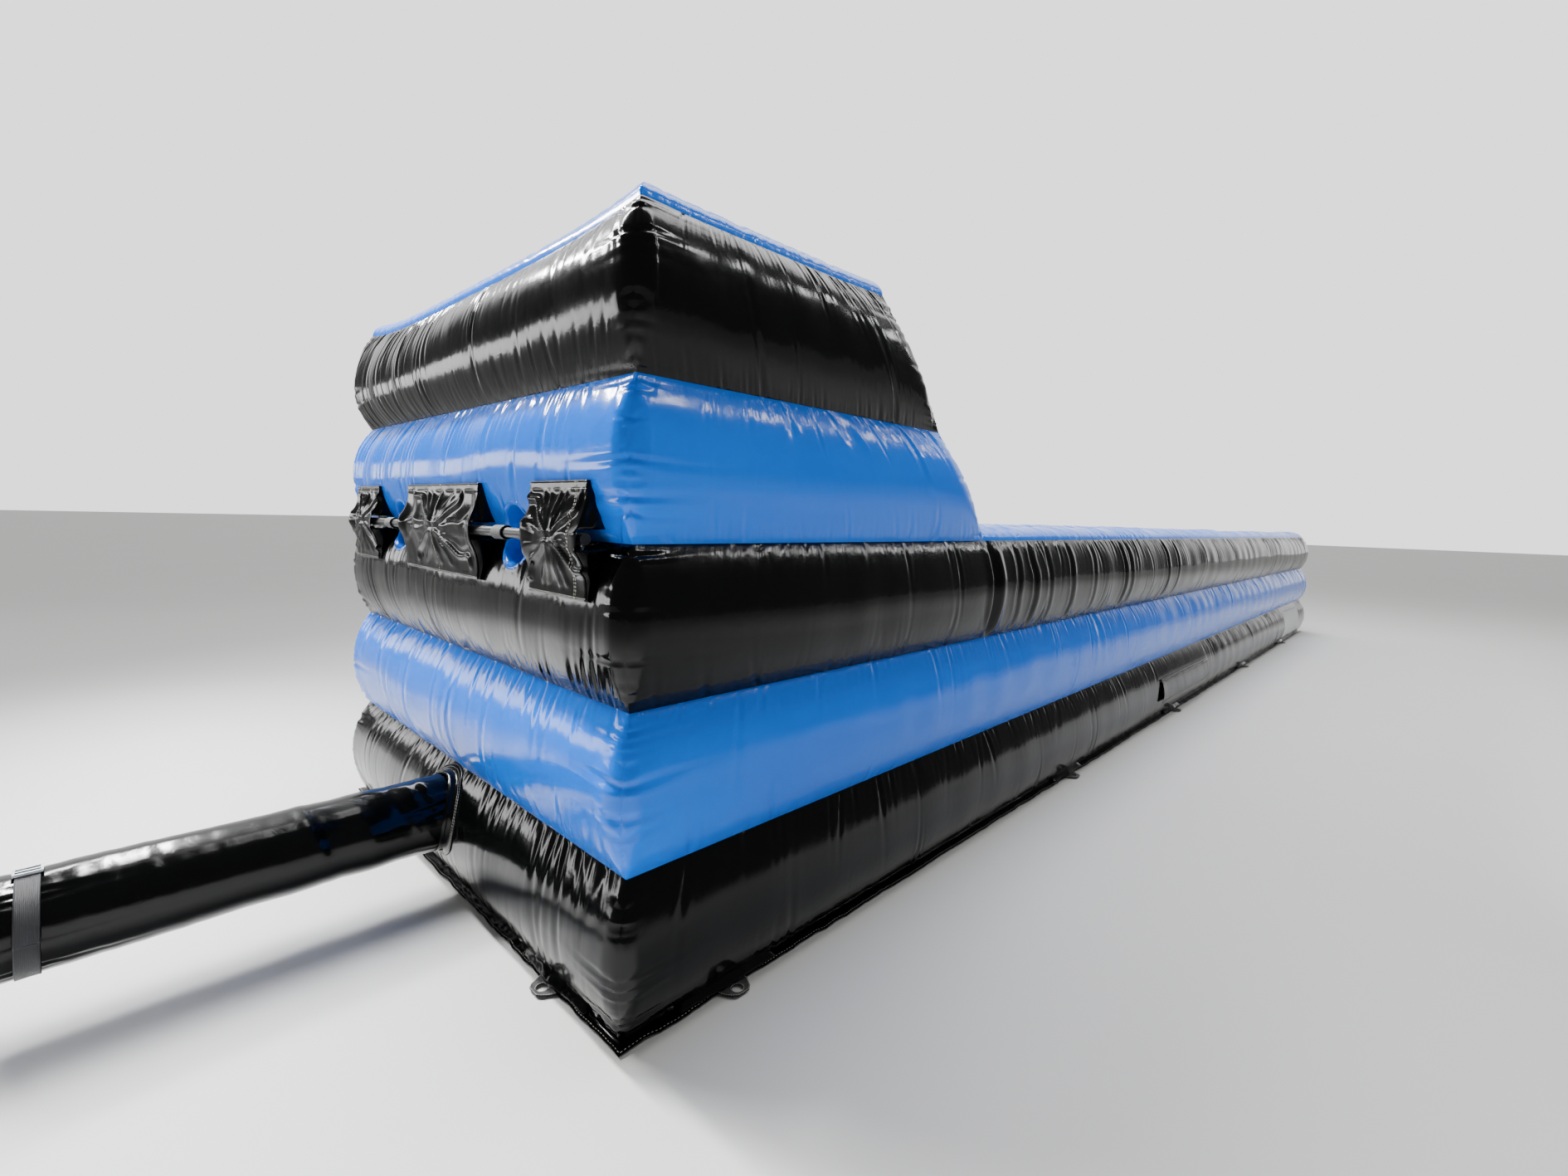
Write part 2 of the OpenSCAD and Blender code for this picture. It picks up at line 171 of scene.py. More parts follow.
def tinted(tree, shader, hexText, low, high, source):
    # the colour wanders between a darker and a lighter share of itself
    dark, light = [[min(1, c * share) for c in linearColour(hexText)[:3]] + [1] for share in (low, high)]
    tint = addNode(tree, "ShaderNodeMix", {"data_type": "RGBA", 6: dark, 7: light}, {0: source})
    tree.links.new(tint.outputs[2], shader.inputs["Base Color"])


vinylLook = {
    "ior": 1.53,                # plasticised PVC
    "roughness": 0.11,          # lacquered face
    "scrim": 420.0,             # threads per metre that show through the coating
    "gatherReach": 0.075,       # how far the gathers run from a seam
    "blue": "#0079ff",
    "black": "#050606",
}


def pvcVinyl(name, hexText, specular, mottle, gatherDepth, slackDepth):
    # knife-coated PVC over polyester scrim: wet gloss, faint thread print, small gathers by each seam
    material, tree, shader = newMaterial(name)
    shader.inputs["IOR"].default_value = vinylLook["ior"]
    shader.inputs["Specular IOR Level"].default_value = specular
    roughness = vinylLook["roughness"]
    place = addNode(tree, "ShaderNodeTexCoord").outputs["Object"]
    along = addNode(tree, "ShaderNodeUVMap", {"uv_map": "seamMap"})
    gap = addNode(tree, "ShaderNodeAttribute", {"attribute_name": "seamGap"})
    tinted(tree, shader, hexText, 1 - mottle, 1 + mottle, noise(tree, place, 1.7, 3.0))
    # hand marks and dust change the gloss in patches
    gloss = remap(tree, noise(tree, place, 9.0, 6.0, Roughness=0.7), (0.35, 0.75),
                  (roughness, roughness + 0.09))
    tree.links.new(gloss, shader.inputs["Roughness"])
    # gathers: stretched away from the seam, fading with distance
    stretch = addNode(tree, "ShaderNodeMapping", {"Scale": (38.0, 3.2, 1.0)},
                      {"Vector": along.outputs["UV"]})
    gather = noise(tree, stretch.outputs["Vector"], 1.0, 2.0, Distortion=0.6)
    fade = remap(tree, gap.outputs["Fac"], (0.0, vinylLook["gatherReach"]), (1.0, 0.06))
    gathered = addNode(tree, "ShaderNodeMath", {"operation": "MULTIPLY"}, {0: gather, 1: fade}).outputs[0]
    normal = raised(tree, gathered, 0.6, gatherDepth)
    normal = raised(tree, noise(tree, place, 14.0, 3.0, Distortion=1.2), 0.3, slackDepth, normal)
    normal = raised(tree, noise(tree, place, vinylLook["scrim"], 1.0), 0.06, 0.0004, normal)
    tree.links.new(normal, shader.inputs["Normal"])
    return material


blueVinyl = pvcVinyl("pvc-vinyl-blue", vinylLook["blue"], 0.25, 0.06, 0.004, 0.002)
blackVinyl = pvcVinyl("pvc-vinyl-black", vinylLook["black"], 0.22, 0.2, 0.004, 0.002)
trimVinyl = pvcVinyl("pvc-vinyl-black-trim", vinylLook["black"], 0.2, 0.2, 0.001, 0.002)


def wovenWeb(name, hexText, pitch, depth, roughness):
    # flat woven polyester: a close rib across the strip and a softer one along it, drawn at twice its real size
    material, tree, shader = newMaterial(name)
    along = addNode(tree, "ShaderNodeUVMap", {"uv_map": "seamMap"}).outputs["UV"]
    shader.inputs["Sheen Weight"].default_value = 0.25
    fuzz = noise(tree, along, 260.0, 3.0)
    tinted(tree, shader, hexText, 0.6, 1.5, fuzz)
    ribs = []
    for direction, share, bend in (("X", 0.32, 0.6), ("Y", 0.2, 0.4)):
        settings = {"Scale": share / pitch, "Distortion": bend, "Detail": 1.0, "bands_direction": direction}
        ribs.append(addNode(tree, "ShaderNodeTexWave", settings, {"Vector": along}).outputs["Fac"])
    weave = addNode(tree, "ShaderNodeMath", {"operation": "ADD"}, {0: ribs[0], 1: ribs[1]}).outputs[0]
    tree.links.new(raised(tree, weave, 0.7, depth), shader.inputs["Normal"])
    gloss = remap(tree, fuzz, (0.0, 1.0), (roughness - 0.1, roughness + 0.1))
    tree.links.new(gloss, shader.inputs["Roughness"])
    return material


webbing = wovenWeb("polyester-webbing-black", "#15161a", 0.0022, 0.0006, 0.55)
zipCloth = wovenWeb("polyester-zip-tape-black", "#101114", 0.0012, 0.0003, 0.65)


def plainFinish(name, hexText, metallic, roughness, spread, grain, depth, ior=None):
    # solid finish with fine grain, handling marks and a little dust
    material, tree, shader = newMaterial(name)
    place = addNode(tree, "ShaderNodeTexCoord").outputs["Object"]
    shader.inputs["Metallic"].default_value = metallic
    if ior:
        shader.inputs["IOR"].default_value = ior
    marks = noise(tree, place, grain * 0.12, 6.0, Roughness=0.65)
    tinted(tree, shader, hexText, 1 - spread, 1 + spread, marks)
    gloss = remap(tree, marks, (0.3, 0.7), (roughness - 0.07, roughness + 0.09))
    tree.links.new(gloss, shader.inputs["Roughness"])
    tree.links.new(raised(tree, noise(tree, place, grain, 2.0), 0.35, depth), shader.inputs["Normal"])
    return material


threadCream = plainFinish("bonded-polyester-thread-cream", "#d9d6cb", 0.0, 0.55, 0.08, 900.0, 0.0002, 1.5)
barPaint = plainFinish("steel-powder-coat-black", "#17181a", 0.0, 0.38, 0.3, 700.0, 0.0003, 1.5)
plugPlastic = plainFinish("polyethylene-black", "#0e0f10", 0.0, 0.45, 0.15, 300.0, 0.0002, 1.51)
ringZinc = plainFinish("steel-bright-zinc", "#b9bdc2", 1.0, 0.26, 0.12, 500.0, 0.0001)
buckleZinc = plainFinish("pressed-steel-zinc", "#9da1a6", 1.0, 0.36, 0.12, 400.0, 0.0002)
zipNickel = plainFinish("zinc-alloy-nickel", "#aaa9a3", 1.0, 0.3, 0.1, 600.0, 0.0001)
zipTooth = plainFinish("acetal-black", "#141416", 0.0, 0.4, 0.1, 600.0, 0.0001, 1.48)
patchWhite = plainFinish("matt-pvc-white", "#e3e5e4", 0.0, 0.5, 0.04, 260.0, 0.0003, 1.53)
innerCloth = plainFinish("polyester-base-cloth-grey", "#8b8f94", 0.0, 0.8, 0.1, 800.0, 0.0003, 1.5)
print("materials made")


def shell(grid, thick, closed=False):
    # a rows x columns grid of outer points becomes a closed sheet; its outer side is columns cross rows
    grid = np.asarray(grid, float)
    rows, columns = grid.shape[:2]
    across = (np.roll(grid, -1, 1) - np.roll(grid, 1, 1)) if closed else np.gradient(grid, axis=1)
    normal = np.cross(across, np.gradient(grid, axis=0))
    normal /= np.maximum(np.linalg.norm(normal, axis=2, keepdims=True), 1e-12)
    points = np.concatenate([grid.reshape(-1, 3), (grid - normal * thick).reshape(-1, 3)])
    total = rows * columns
    outer = gridFaces(rows, columns, closed)
    faces = list(outer) + [tuple(k + total for k in reversed(face)) for face in outer]
    spans = columns if closed else columns - 1
    top = (rows - 1) * columns
    for i in range(spans):
        k = (i + 1) % columns
        faces.append((k, i, i + total, k + total))
        faces.append((top + i, top + k, top + k + total, top + i + total))
    if not closed:
        for j in range(rows - 1):
            p, q = j * columns, (j + 1) * columns
            faces.append((p, q, q + total, p + total))
            faces.append((q + columns - 1, p + columns - 1, p + columns - 1 + total,
                          q + columns - 1 + total))
    u = np.concatenate([[0], np.cumsum(np.linalg.norm(np.diff(grid[rows // 2], axis=0), axis=1))])
    v = np.concatenate([[0], np.cumsum(np.linalg.norm(np.diff(grid[:, columns // 2], axis=0), axis=1))])
    uv = np.stack(np.broadcast_arrays(u[None, :], v[:, None]), -1).reshape(-1, 2)
    gap = np.minimum(v, v[-1] - v)[:, None] + 0 * u[None, :]
    if not closed:
        gap = np.minimum(gap, np.minimum(u, u[-1] - u)[None, :])
    cell = np.cross(grid[1:, :-1] - grid[:-1, :-1], grid[:-1, 1:] - grid[:-1, :-1])
    area = float(np.linalg.norm(cell, axis=2).sum())
    if closed:
        wrap = np.cross(grid[1:, -1] - grid[:-1, -1], grid[:-1, 0] - grid[:-1, -1])
        area += float(np.linalg.norm(wrap, axis=1).sum())
    return {"points": points, "faces": faces, "uv": np.concatenate([uv, uv]),
            "gap": np.tile(gap.reshape(-1), 2), "area": area}


def joined(parts):
    points, faces, uv, gap, area, start = [], [], [], [], 0.0, 0
    for part in parts:
        points.append(part["points"])
        faces += [tuple(k + start for k in face) for face in part["faces"]]
        uv.append(part["uv"])
        gap.append(part["gap"])
        area += part["area"]
        start += len(part["points"])
    return {"points": np.concatenate(points), "faces": faces, "uv": np.concatenate(uv),
            "gap": np.concatenate(gap), "area": area}


def addSheet(name, parts, material, replaced, body):
    part = joined(parts)
    thing = addObject(name, part["points"], part["faces"], material, body,
                      maps={"seamMap": part["uv"], "seamGap": part["gap"] + 0.3})
    if replaced:
        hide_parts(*replaced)
    return thing


stitchLook = {"pitch": 0.0105, "long": 0.0075, "thick": 0.0017}
stitchParts = {}


def sewLine(path, outward, body="envelope", pitch=None, size=1.0):
    # lock stitches along a line of points, lying on the side that outward points to
    path = np.asarray(path, float)
    outward = np.broadcast_to(np.asarray(outward, float), path.shape)
    run = np.concatenate([[0], np.cumsum(np.linalg.norm(np.diff(path, axis=0), axis=1))])
    pitch = pitch or stitchLook["pitch"]
    count = int(run[-1] / pitch)
    if count < 1:
        return
    middle = (np.arange(count) + 0.5) * run[-1] / count
    half = stitchLook["long"] / 2 * size * min(1.0, pitch / stitchLook["pitch"] + 0.2)
    thick = stitchLook["thick"] / 2 * size

    def at(where, values):
        return np.stack([np.interp(where, run, values[:, k]) for k in range(3)], -1)

    ends = [at(middle + shift * half, path) for shift in (-1, 0, 1)]
    along = ends[2] - ends[0]
    along /= np.maximum(np.linalg.norm(along, axis=1, keepdims=True), 1e-9)
    up = at(middle, np.array(outward))
    side = np.cross(along, up)
    side /= np.maximum(np.linalg.norm(side, axis=1, keepdims=True), 1e-9)
    up = np.cross(side, along)
    rings = []
    for place, share in zip(ends, (0.45, 1.0, 0.45)):
        for a, b in ((1, -0.6), (1, 0.9), (-1, 0.9), (-1, -0.6)):
            rings.append(place + side * a * thick * share + up * b * thick * share)
    points = np.stack(rings, 1)
    faces = []
    for k in range(count):
        o = 12 * k
        for ring in (0, 4):
            for c in range(4):
                d = (c + 1) % 4
                faces.append((o + ring + c, o + ring + d, o + ring + 4 + d, o + ring + 4 + c))
        faces.append((o + 3, o + 2, o + 1, o))
        faces.append((o + 8, o + 9, o + 10, o + 11))
    stitchParts.setdefault(body, []).append({"points": points.reshape(-1, 3), "faces": faces,
                                             "uv": np.zeros((12 * count, 2)),
                                             "gap": np.zeros(12 * count), "area": 0.0})


bandLook = {
    "rows": 56,                  # rings from seam to seam
    "cornerRound": 0.085,        # radius of a full corner, metres
    "foldGap": 0.085,            # usual spacing of the folds at a seam
    "foldDepth": 0.0065,
    "foldReach": 0.065,
    "foldWidth": 0.009,
    "rippleLength": 0.31,        # long ripples from the tie sheets inside
    "rippleDepth": 0.005,
    "puckerGap": 0.033,          # short folds along an upright corner seam
    "puckerDepth": 0.012,
    "puckerReach": 0.06,
    "slopeEnd": 0.3,             # share of the swell left where a side meets the sloping front
    "slopeRun": 0.4,
}
surfaces = {}


def bulge(v):                                # share of the swell at share v of the height
    s = swell / bandHeight
    r = (0.25 + s * s) / (2 * s)
    return (np.sqrt(r * r - (v - 0.5) ** 2) - (r - s)) / s


def folds(s, d, seed, gap, depth, reach, width):
    # creases that leave a seam at right angles, each with its own depth and length
    phase = s / gap + 0.9 * waver(s / gap / 2.3, seed)
    k = np.round(phase)
    off = (phase - k) * gap
    depthK = depth * (0.25 + 1.1 * dice(k, seed + 1)) * (dice(k, seed + 3) > 0.18)
    reachK = reach * (0.35 + 2.2 * dice(k, seed + 2) ** 3)
    lean = (dice(k, seed + 4) - 0.5) * 0.5
    dist = d[:, None]
    offD = off[None, :] + lean[None, :] * dist
    w = width * (1 + 3.0 * dist)
    fall = np.exp(-dist / reachK[None, :]) * (1 - np.exp(-dist / 0.007))
    crease = -np.exp(-(offD / w) ** 2) + 0.45 * np.exp(-((np.abs(offD) - 2.0 * w) / w) ** 2)
    return depthK[None, :] * crease * fall


def foldRow(s, distance, seed, gap, depth, reach, width):
    return folds(s, np.array([distance]), seed, gap, depth, reach, width)[0]


def paddedSkin(replaced):
    if replaced:
        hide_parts(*replaced)


def ringBand(name, corners, sides, zLow, zHigh, seed, material, replaced=(), lift=None, holes=()):
    # corners are plan points (x, y, slant); side i runs from corner i to corner i + 1 and swells to the right of its run
    rows = bandLook["rows"]
    t = np.linspace(0, 1, rows)
    v = 0.55 * t + 0.45 * (0.5 - 0.5 * np.cos(np.pi * t))
    z0 = v * (zHigh - zLow) + zLow
    arch = bulge(v)
    count = len(corners)
    points, faces, seamMap, seamGap = [], [], [], []
    start = 0
    plan = [np.array(c[:2], float) for c in corners]
    slants = [c[2] if len(c) > 2 else 0.0 for c in corners]
    share = [bandLook["slopeEnd"] if s else 1.0 for s in slants]
    for i, side in enumerate(sides):
        if side.get("skip"):
            continue
        j = (i + 1) % count
        a, b = plan[i], plan[j]
        length = float(np.linalg.norm(b - a))
        run = (b - a) / length
        before, after = a - plan[i - 1], plan[(i + 2) % count] - b
        before, after = before / np.linalg.norm(before), after / np.linalg.norm(after)
        out, outBefore, outAfter = [np.array([d[1], -d[0]]) for d in (run, before, after)]
        depth = side["bulge"]
        p0 = a + share[i] * arch[:, None] * (out * depth + outBefore * sides[i - 1]["bulge"])
        p1 = b + share[j] * arch[:, None] * (out * depth + outAfter * sides[j]["bulge"])
        p0[:, 1] -= slants[i] * (z0 - seamZ[3])
        p1[:, 1] -= slants[j] * (z0 - seamZ[3])
        columns = max(3, int(math.ceil(length / side["step"])) + 1)
        u = np.linspace(0, 1, columns)
        s = u * length
        x = p0[:, 0:1] + (p1[:, 0:1] - p0[:, 0:1]) * u
        y = p0[:, 1:2] + (p1[:, 1:2] - p0[:, 1:2]) * u
        span = np.hypot(p1[:, 0] - p0[:, 0], p1[:, 1] - p0[:, 1])[:, None]
        fromA, fromB = u[None, :] * span, (1 - u[None, :]) * span
        convexA = before[0] * run[1] - before[1] * run[0] > 0
        convexB = run[0] * after[1] - run[1] * after[0] > 0
        for dist, convex, other, end, full in ((fromA, convexA, outBefore, p0, share[i]),
                                               (fromB, convexB, outAfter, p1, share[j])):
            if convex:
                radius = bandLook["cornerRound"] * arch[:, None] * min(1.0, length / 0.3) * full + 0.002
                near = dist < radius
                angle = np.where(near, (1 - dist / radius) * math.pi / 4, 0.0)
                cx = end[:, 0:1] + radius * (out[0] * (np.cos(angle) - 1) + other[0] * (np.sin(angle) - 1))
                cy = end[:, 1:2] + radius * (out[1] * (np.cos(angle) - 1) + other[1] * (np.sin(angle) - 1))
                x, y = np.where(near, cx, x), np.where(near, cy, y)
        key = seed * 10 + i
        sWorld = s + 3.7 * i
        push = np.zeros((rows, columns))
        for distance, extra in ((v * (zHigh - zLow), 1), ((1 - v) * (zHigh - zLow), 5)):
            push += folds(sWorld, distance, key + extra, bandLook["foldGap"], bandLook["foldDepth"],
                          bandLook["foldReach"] * side.get("long", 1.0), bandLook["foldWidth"])
            push += folds(sWorld + 9, distance, key + extra + 20, bandLook["foldGap"] * 0.42,
                          bandLook["foldDepth"] * 0.4,
                          bandLook["foldReach"] * 0.6 * side.get("long", 1.0), bandLook["foldWidth"] * 0.6)
        ripple = side.get("ripple", 0.4) * bandLook["rippleDepth"]
        wave = np.cos(2 * np.pi * (s / bandLook["rippleLength"] + 0.35 * waver(s / 0.8, key + 9)))
        push += ripple * wave * (arch[:, None] ** 0.5) * (0.6 + 0.4 * waver(s / 0.5, key + 7))
        push += 0.006 * waver(s / 1.4, key + 8) * arch[:, None]
        push += side.get("wander", 0.0025) * np.sin(2 * np.pi * v)[:, None] * waver(s / 0.42,
                                                                                    key + 11)[None, :]
        for place, cut, wide in side.get("creases", ()):
            off = s[None, :] - place + 0.012 * waver(v * 5, int(place * 100))[:, None]
            profile = -np.exp(-(off / wide) ** 2) + 0.4 * np.exp(-((np.abs(off) - 2 * wide) / wide) ** 2)
            push += cut * profile * np.minimum(1, arch[:, None] * 2.2)
        calm = np.ones(columns)
        for low, high in side.get("calm", ()):
            calm *= 1 - 0.85 * smoothStep(s, low - 0.1, low) * (1 - smoothStep(s, high, high + 0.1))
        push *= calm
        # the swell comes back from the sloping front's seam over a short run
        for dist, full, other in ((fromA, share[i], share[j]), (fromB, share[j], share[i])):
            if full < 1 and depth > 0:
                straight = full + (other - full) * dist / span
                wanted = full + (other - full) * np.sqrt(1 - (1 - np.clip(dist / bandLook["slopeRun"], 0,
                                                                          1)) ** 2)
                push += depth * arch[:, None] * (wanted - straight)
        fade = np.minimum(1, np.minimum(fromA, fromB) / 0.05)
        push *= fade
        for dist, convex, corner in ((fromA, convexA, i), (fromB, convexB, j)):
            if convex:
                pucker = folds(z0, dist[rows // 2], int(zLow * 50) + corner * 7, bandLook["puckerGap"],
                               bandLook["puckerDepth"],
                               bandLook["puckerReach"], 0.0085).T
                push += pucker * np.minimum(1, arch[:,
                                                    None] * 3) - 0.004 * np.exp(-(dist / 0.006) ** 2) * arch[:, None]
        x = x + out[0] * push
        y = y + out[1] * push
        z = z0[:, None] + (lift(x, y) * v[:, None] if lift else 0 * x)
        surfaces[name, i] = (x.copy(), y.copy(), z0)
        keep = None
        for holeX, holeZ, radius in holes:
            if abs(out[1]) < 0.5:
                continue
            r = np.hypot(x - holeX, z - holeZ)
            inside = r < radius
            cell = inside[:-1, :-1] | inside[1:, :-1] | inside[:-1, 1:] | inside[1:, 1:]
            keep = ~cell if keep is None else keep & ~cell
            padded = np.zeros((rows + 1, columns + 1), bool)
            padded[1:-1, 1:-1] = cell
            touch = padded[:-1, :-1] | padded[1:, :-1] | padded[:-1, 1:] | padded[1:, 1:]
            scale = np.where(touch & ~inside & (r < radius + 0.05), radius / np.maximum(r, 1e-6), 1.0)
            x = holeX + (x - holeX) * scale
            z = holeZ + (z - holeZ) * scale
        points.append(np.stack([x, y, z], -1).reshape(-1, 3))
        faces += gridFaces(rows, columns, keep=keep, start=start)
        arc = np.concatenate([[0], np.cumsum(np.hypot(np.diff(z0), np.diff(arch * depth)))])
        seamMap.append(np.stack(np.broadcast_arrays(sWorld[None, :], arc[:, None]), -1).reshape(-1, 2))
        seamGap.append(np.broadcast_to(np.minimum(arc, arc[-1] - arc)[:, None],
                                       (rows, columns)).reshape(-1))
        start += rows * columns
    thing = addObject(name, np.concatenate(points), faces, material,
                      maps={"seamMap": np.concatenate(seamMap), "seamGap": np.concatenate(seamGap)})
    work = bmesh.new()
    work.from_mesh(thing.data)
    bmesh.ops.remove_doubles(work, verts=work.verts, dist=2e-5)
    bmesh.ops.delete(work, geom=[vert for vert in work.verts if not vert.link_faces], context="VERTS")
    work.to_mesh(thing.data)
    work.free()
    paddedSkin(replaced)


fine, middle, coarse = 0.0095, 0.022, 0.034


def earLift(x, y):
    # the roof's back edge sags between its corners, which stand up like a pillow's
    side = np.clip(np.abs(x) / halfWidth, 0, 1.1)
    depth = np.clip((y - backSeam) / (roofFront - backSeam), -0.1, 1.1)
    ends = np.exp(-(depth / 0.12) ** 2) + np.exp(-((depth - 1) / 0.15) ** 2)
    return 0.006 * side ** 6 * ends - 0.036 * (1 - side ** 4)


zipBox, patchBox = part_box("zip_flap"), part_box("blank_patch")
calmZones = [(zipBox[0].y - backSeam, zipBox[1].y - backSeam),
             (patchBox[0].y - backSeam, patchBox[1].y - backSeam)]
baseCorners = [(-halfWidth, backSeam), (halfWidth, backSeam), (halfWidth, farSeam), (-halfWidth, farSeam)]
back = {"bulge": swell, "step": 0.008, "ripple": 0.45, "long": 1.9, "wander": 0.006}
rightSide = {"bulge": swell, "step": fine, "ripple": 0.35}
leftSide = {"bulge": swell, "step": middle, "ripple": 0.35}
farEnd = {"bulge": swell, "step": middle, "ripple": 0.5}
ringBand("baseBand", baseCorners, [back, dict(rightSide, calm=calmZones), farEnd, leftSide], seamZ[0],
         seamZ[1], 1,
         blackVinyl, ["base_band"])

combCorners = [(-halfWidth, backSeam), (halfWidth, backSeam), (halfWidth, farSeam), (wallInner, farSeam),
               (wallInner, towerFront),
               (dividerHalf, towerFront), (dividerHalf, farSeam), (-dividerHalf, farSeam), (-dividerHalf,
                                                                                            towerFront),
               (-wallInner, towerFront), (-wallInner, farSeam), (-halfWidth, farSeam)]
inner = {"bulge": 0.75 * swell, "step": coarse, "ripple": 0.35}
wallEnd = {"bulge": swell, "step": middle, "ripple": 0.0}
laneHead = {"bulge": 0.0, "step": coarse, "skip": True}
creaseList = [(2.015, 0.022, 0.028), (2.25, 0.006, 0.02), (2.43, 0.009, 0.02), (2.62, 0.005, 0.018),
              (2.92, 0.008, 0.02),
              (3.26, 0.005, 0.02), (3.80, 0.009, 0.02), (3.91, 0.006, 0.02), (4.74, 0.008, 0.02), (5.0,
                                                                                                   0.006, 0.02)]


def combSides(creases):
    mirrored = [(farSeam - backSeam - place, cut, wide) for place, cut, wide in creases]
    return [back, dict(rightSide, creases=creases), wallEnd, inner, laneHead, inner, wallEnd, inner,
            laneHead, inner, wallEnd,
            dict(leftSide, creases=mirrored)]


ringBand("secondBand", combCorners, combSides([]), seamZ[1], seamZ[2], 2, blueVinyl,
         ["tower_band_2", "wall_band_2_left", "wall_band_2_right", "divider_band_2"])
portHoles = [(laneX, portZ, portRadius + 0.004), (-laneX, portZ, portRadius + 0.004)]
ringBand("thirdBand", combCorners, combSides(creaseList), seamZ[2], seamZ[3], 3, blackVinyl,
         ["tower_band_3", "wall_band_3_left", "wall_band_3_right", "divider_band_3"], holes=portHoles)

towerCorners = [(-halfWidth, backSeam), (halfWidth, backSeam), (halfWidth, towerFront, slopeRun),
                (-halfWidth, towerFront, slopeRun)]
slopeFace = {"bulge": 0.05, "step": 0.014, "ripple": 0.6}
towerSides = [back, rightSide, dict(slopeFace, skip=True), leftSide]
ringBand("fourthBand", towerCorners, towerSides, seamZ[3], seamZ[4], 4, blueVinyl,
         ["tower_band_4"], holes=portHoles)
ringBand("topBand", towerCorners, towerSides, seamZ[4], seamZ[5], 5, blackVinyl,
         ["tower_band_5"], lift=earLift)
slopeOnly = [dict(back, skip=True), dict(rightSide, skip=True), slopeFace, dict(leftSide, skip=True)]
ringBand("slopeLower", towerCorners, slopeOnly, seamZ[3], seamZ[4], 6, blueVinyl,
         ["tower_front"], holes=portHoles)
ringBand("slopeUpper", towerCorners, slopeOnly, seamZ[4], seamZ[5], 7, blueVinyl,
         lift=earLift)
headSide = {"bulge": 0.045, "step": 0.014, "ripple": 0.4}
flat = {"bulge": 0.0, "step": 0.05, "skip": True}
for level in (1, 2):
    for mark, xa, xb in (("Right", wallInner, dividerHalf), ("Left", -dividerHalf, -wallInner)):
        # a panel between two walls, whose own swellings hide its ends
        ringBand("laneHead" + mark + str(level + 1),
                 [(xa, towerFront), (xb, towerFront), (xb, towerFront - 0.3),
                  (xa, towerFront - 0.3)], [headSide, flat, flat, flat],
                 seamZ[level], seamZ[level + 1], 8 + level, blueVinyl, holes=portHoles)
print("bands and tower front made")


def surfaceAt(key, across, height, axis):    # depth of a band's face at a place along it and a height
    x, y, z0 = surfaces[key]
    along, value = (x, y) if axis == 0 else (y, x)
    if along[0, -1] < along[0, 0]:
        along, value = along[:, ::-1], value[:, ::-1]
    across, height = np.broadcast_arrays(np.asarray(across, float), np.asarray(height, float))
    result = np.empty(across.shape)
    for index in np.ndindex(across.shape):
        row = np.clip(np.interp(height[index], z0, np.arange(len(z0))), 0, len(z0) - 1.001)
        k = int(row)
        low = np.interp(across[index], along[k], value[k])
        high = np.interp(across[index], along[k + 1], value[k + 1])
        result[index] = low + (high - low) * (row - k)
    return result


def backAt(x, z):
    x, z = np.broadcast_arrays(np.asarray(x, float), np.asarray(z, float))
    lower = surfaceAt(("thirdBand", 0), x, np.minimum(z, seamZ[3]), 0)
    upper = surfaceAt(("fourthBand", 0), x, np.maximum(z, seamZ[3]), 0)
    return np.where(z < seamZ[3], lower, upper)


def frontAt(x, z):
    x, z = np.broadcast_arrays(np.asarray(x, float), np.asarray(z, float))
    lower = surfaceAt(("laneHeadRight3", 0), np.abs(x), np.minimum(z, seamZ[3]), 0)
    upper = surfaceAt(("slopeLower", 2), x, np.maximum(z, seamZ[3]), 0)
    return np.where(z < seamZ[3], lower, upper)


def edgeSpaced(a, b, step, first=(0.0, 0.0015, 0.005, 0.011, 0.019, 0.029, 0.041, 0.055)):
    first = np.array(first)
    return np.concatenate([a + first, np.linspace(a + 0.072, b - 0.072, max(2, int((b - a) / step))),
                           b - first[::-1]])


def coverSheet(name, xs, ys, heightOf, material, replaced):
    x, y = np.meshgrid(xs, ys)
    gap = np.minimum(np.minimum(x - xs[0], xs[-1] - x), np.minimum(y - ys[0], ys[-1] - y))
    thing = addObject(name, np.stack([x, y, heightOf(x, y)], -1), gridFaces(*x.shape), material,
                      maps={"seamMap": np.stack([y, x], -1).reshape(-1, 2),
                            "seamGap": np.abs(gap).reshape(-1)})
    paddedSkin(replaced)


def roofHeight(x, y):
    inset = np.minimum(np.minimum(x + halfWidth, halfWidth - x), np.minimum(y - backSeam, roofFront - y))
    rise = np.sqrt(1 - (1 - np.clip(inset / 0.09, 0, 1)) ** 2)
    tubes = 0.012 * np.abs(np.cos(np.pi * x / 0.4)) ** 0.7 * smoothStep(inset, 0.03, 0.2)
    sideFold = foldRow(y[:, 0], 0.02, 61, 0.07, 0.006, 0.3, 0.012)[:,
                                                                   None] * np.exp(-(halfWidth
                                                                                    - np.abs(x)) / 0.08)
    backFold = foldRow(x[0], 0.02, 67, 0.07, 0.006, 0.3, 0.012)[None, :] * np.exp(-(y - backSeam) / 0.08)
    return seamZ[5] + earLift(x, y) + 0.078 * rise + tubes + (sideFold + backFold) * np.minimum(1,
                                                                                                inset / 0.02)


coverSheet("roof", edgeSpaced(-halfWidth, halfWidth, 0.014), edgeSpaced(backSeam, roofFront, 0.014),
           roofHeight, blueVinyl,
           ["tower_roof"])
wallTop = {"rise": 0.07, "endRun": 0.14}


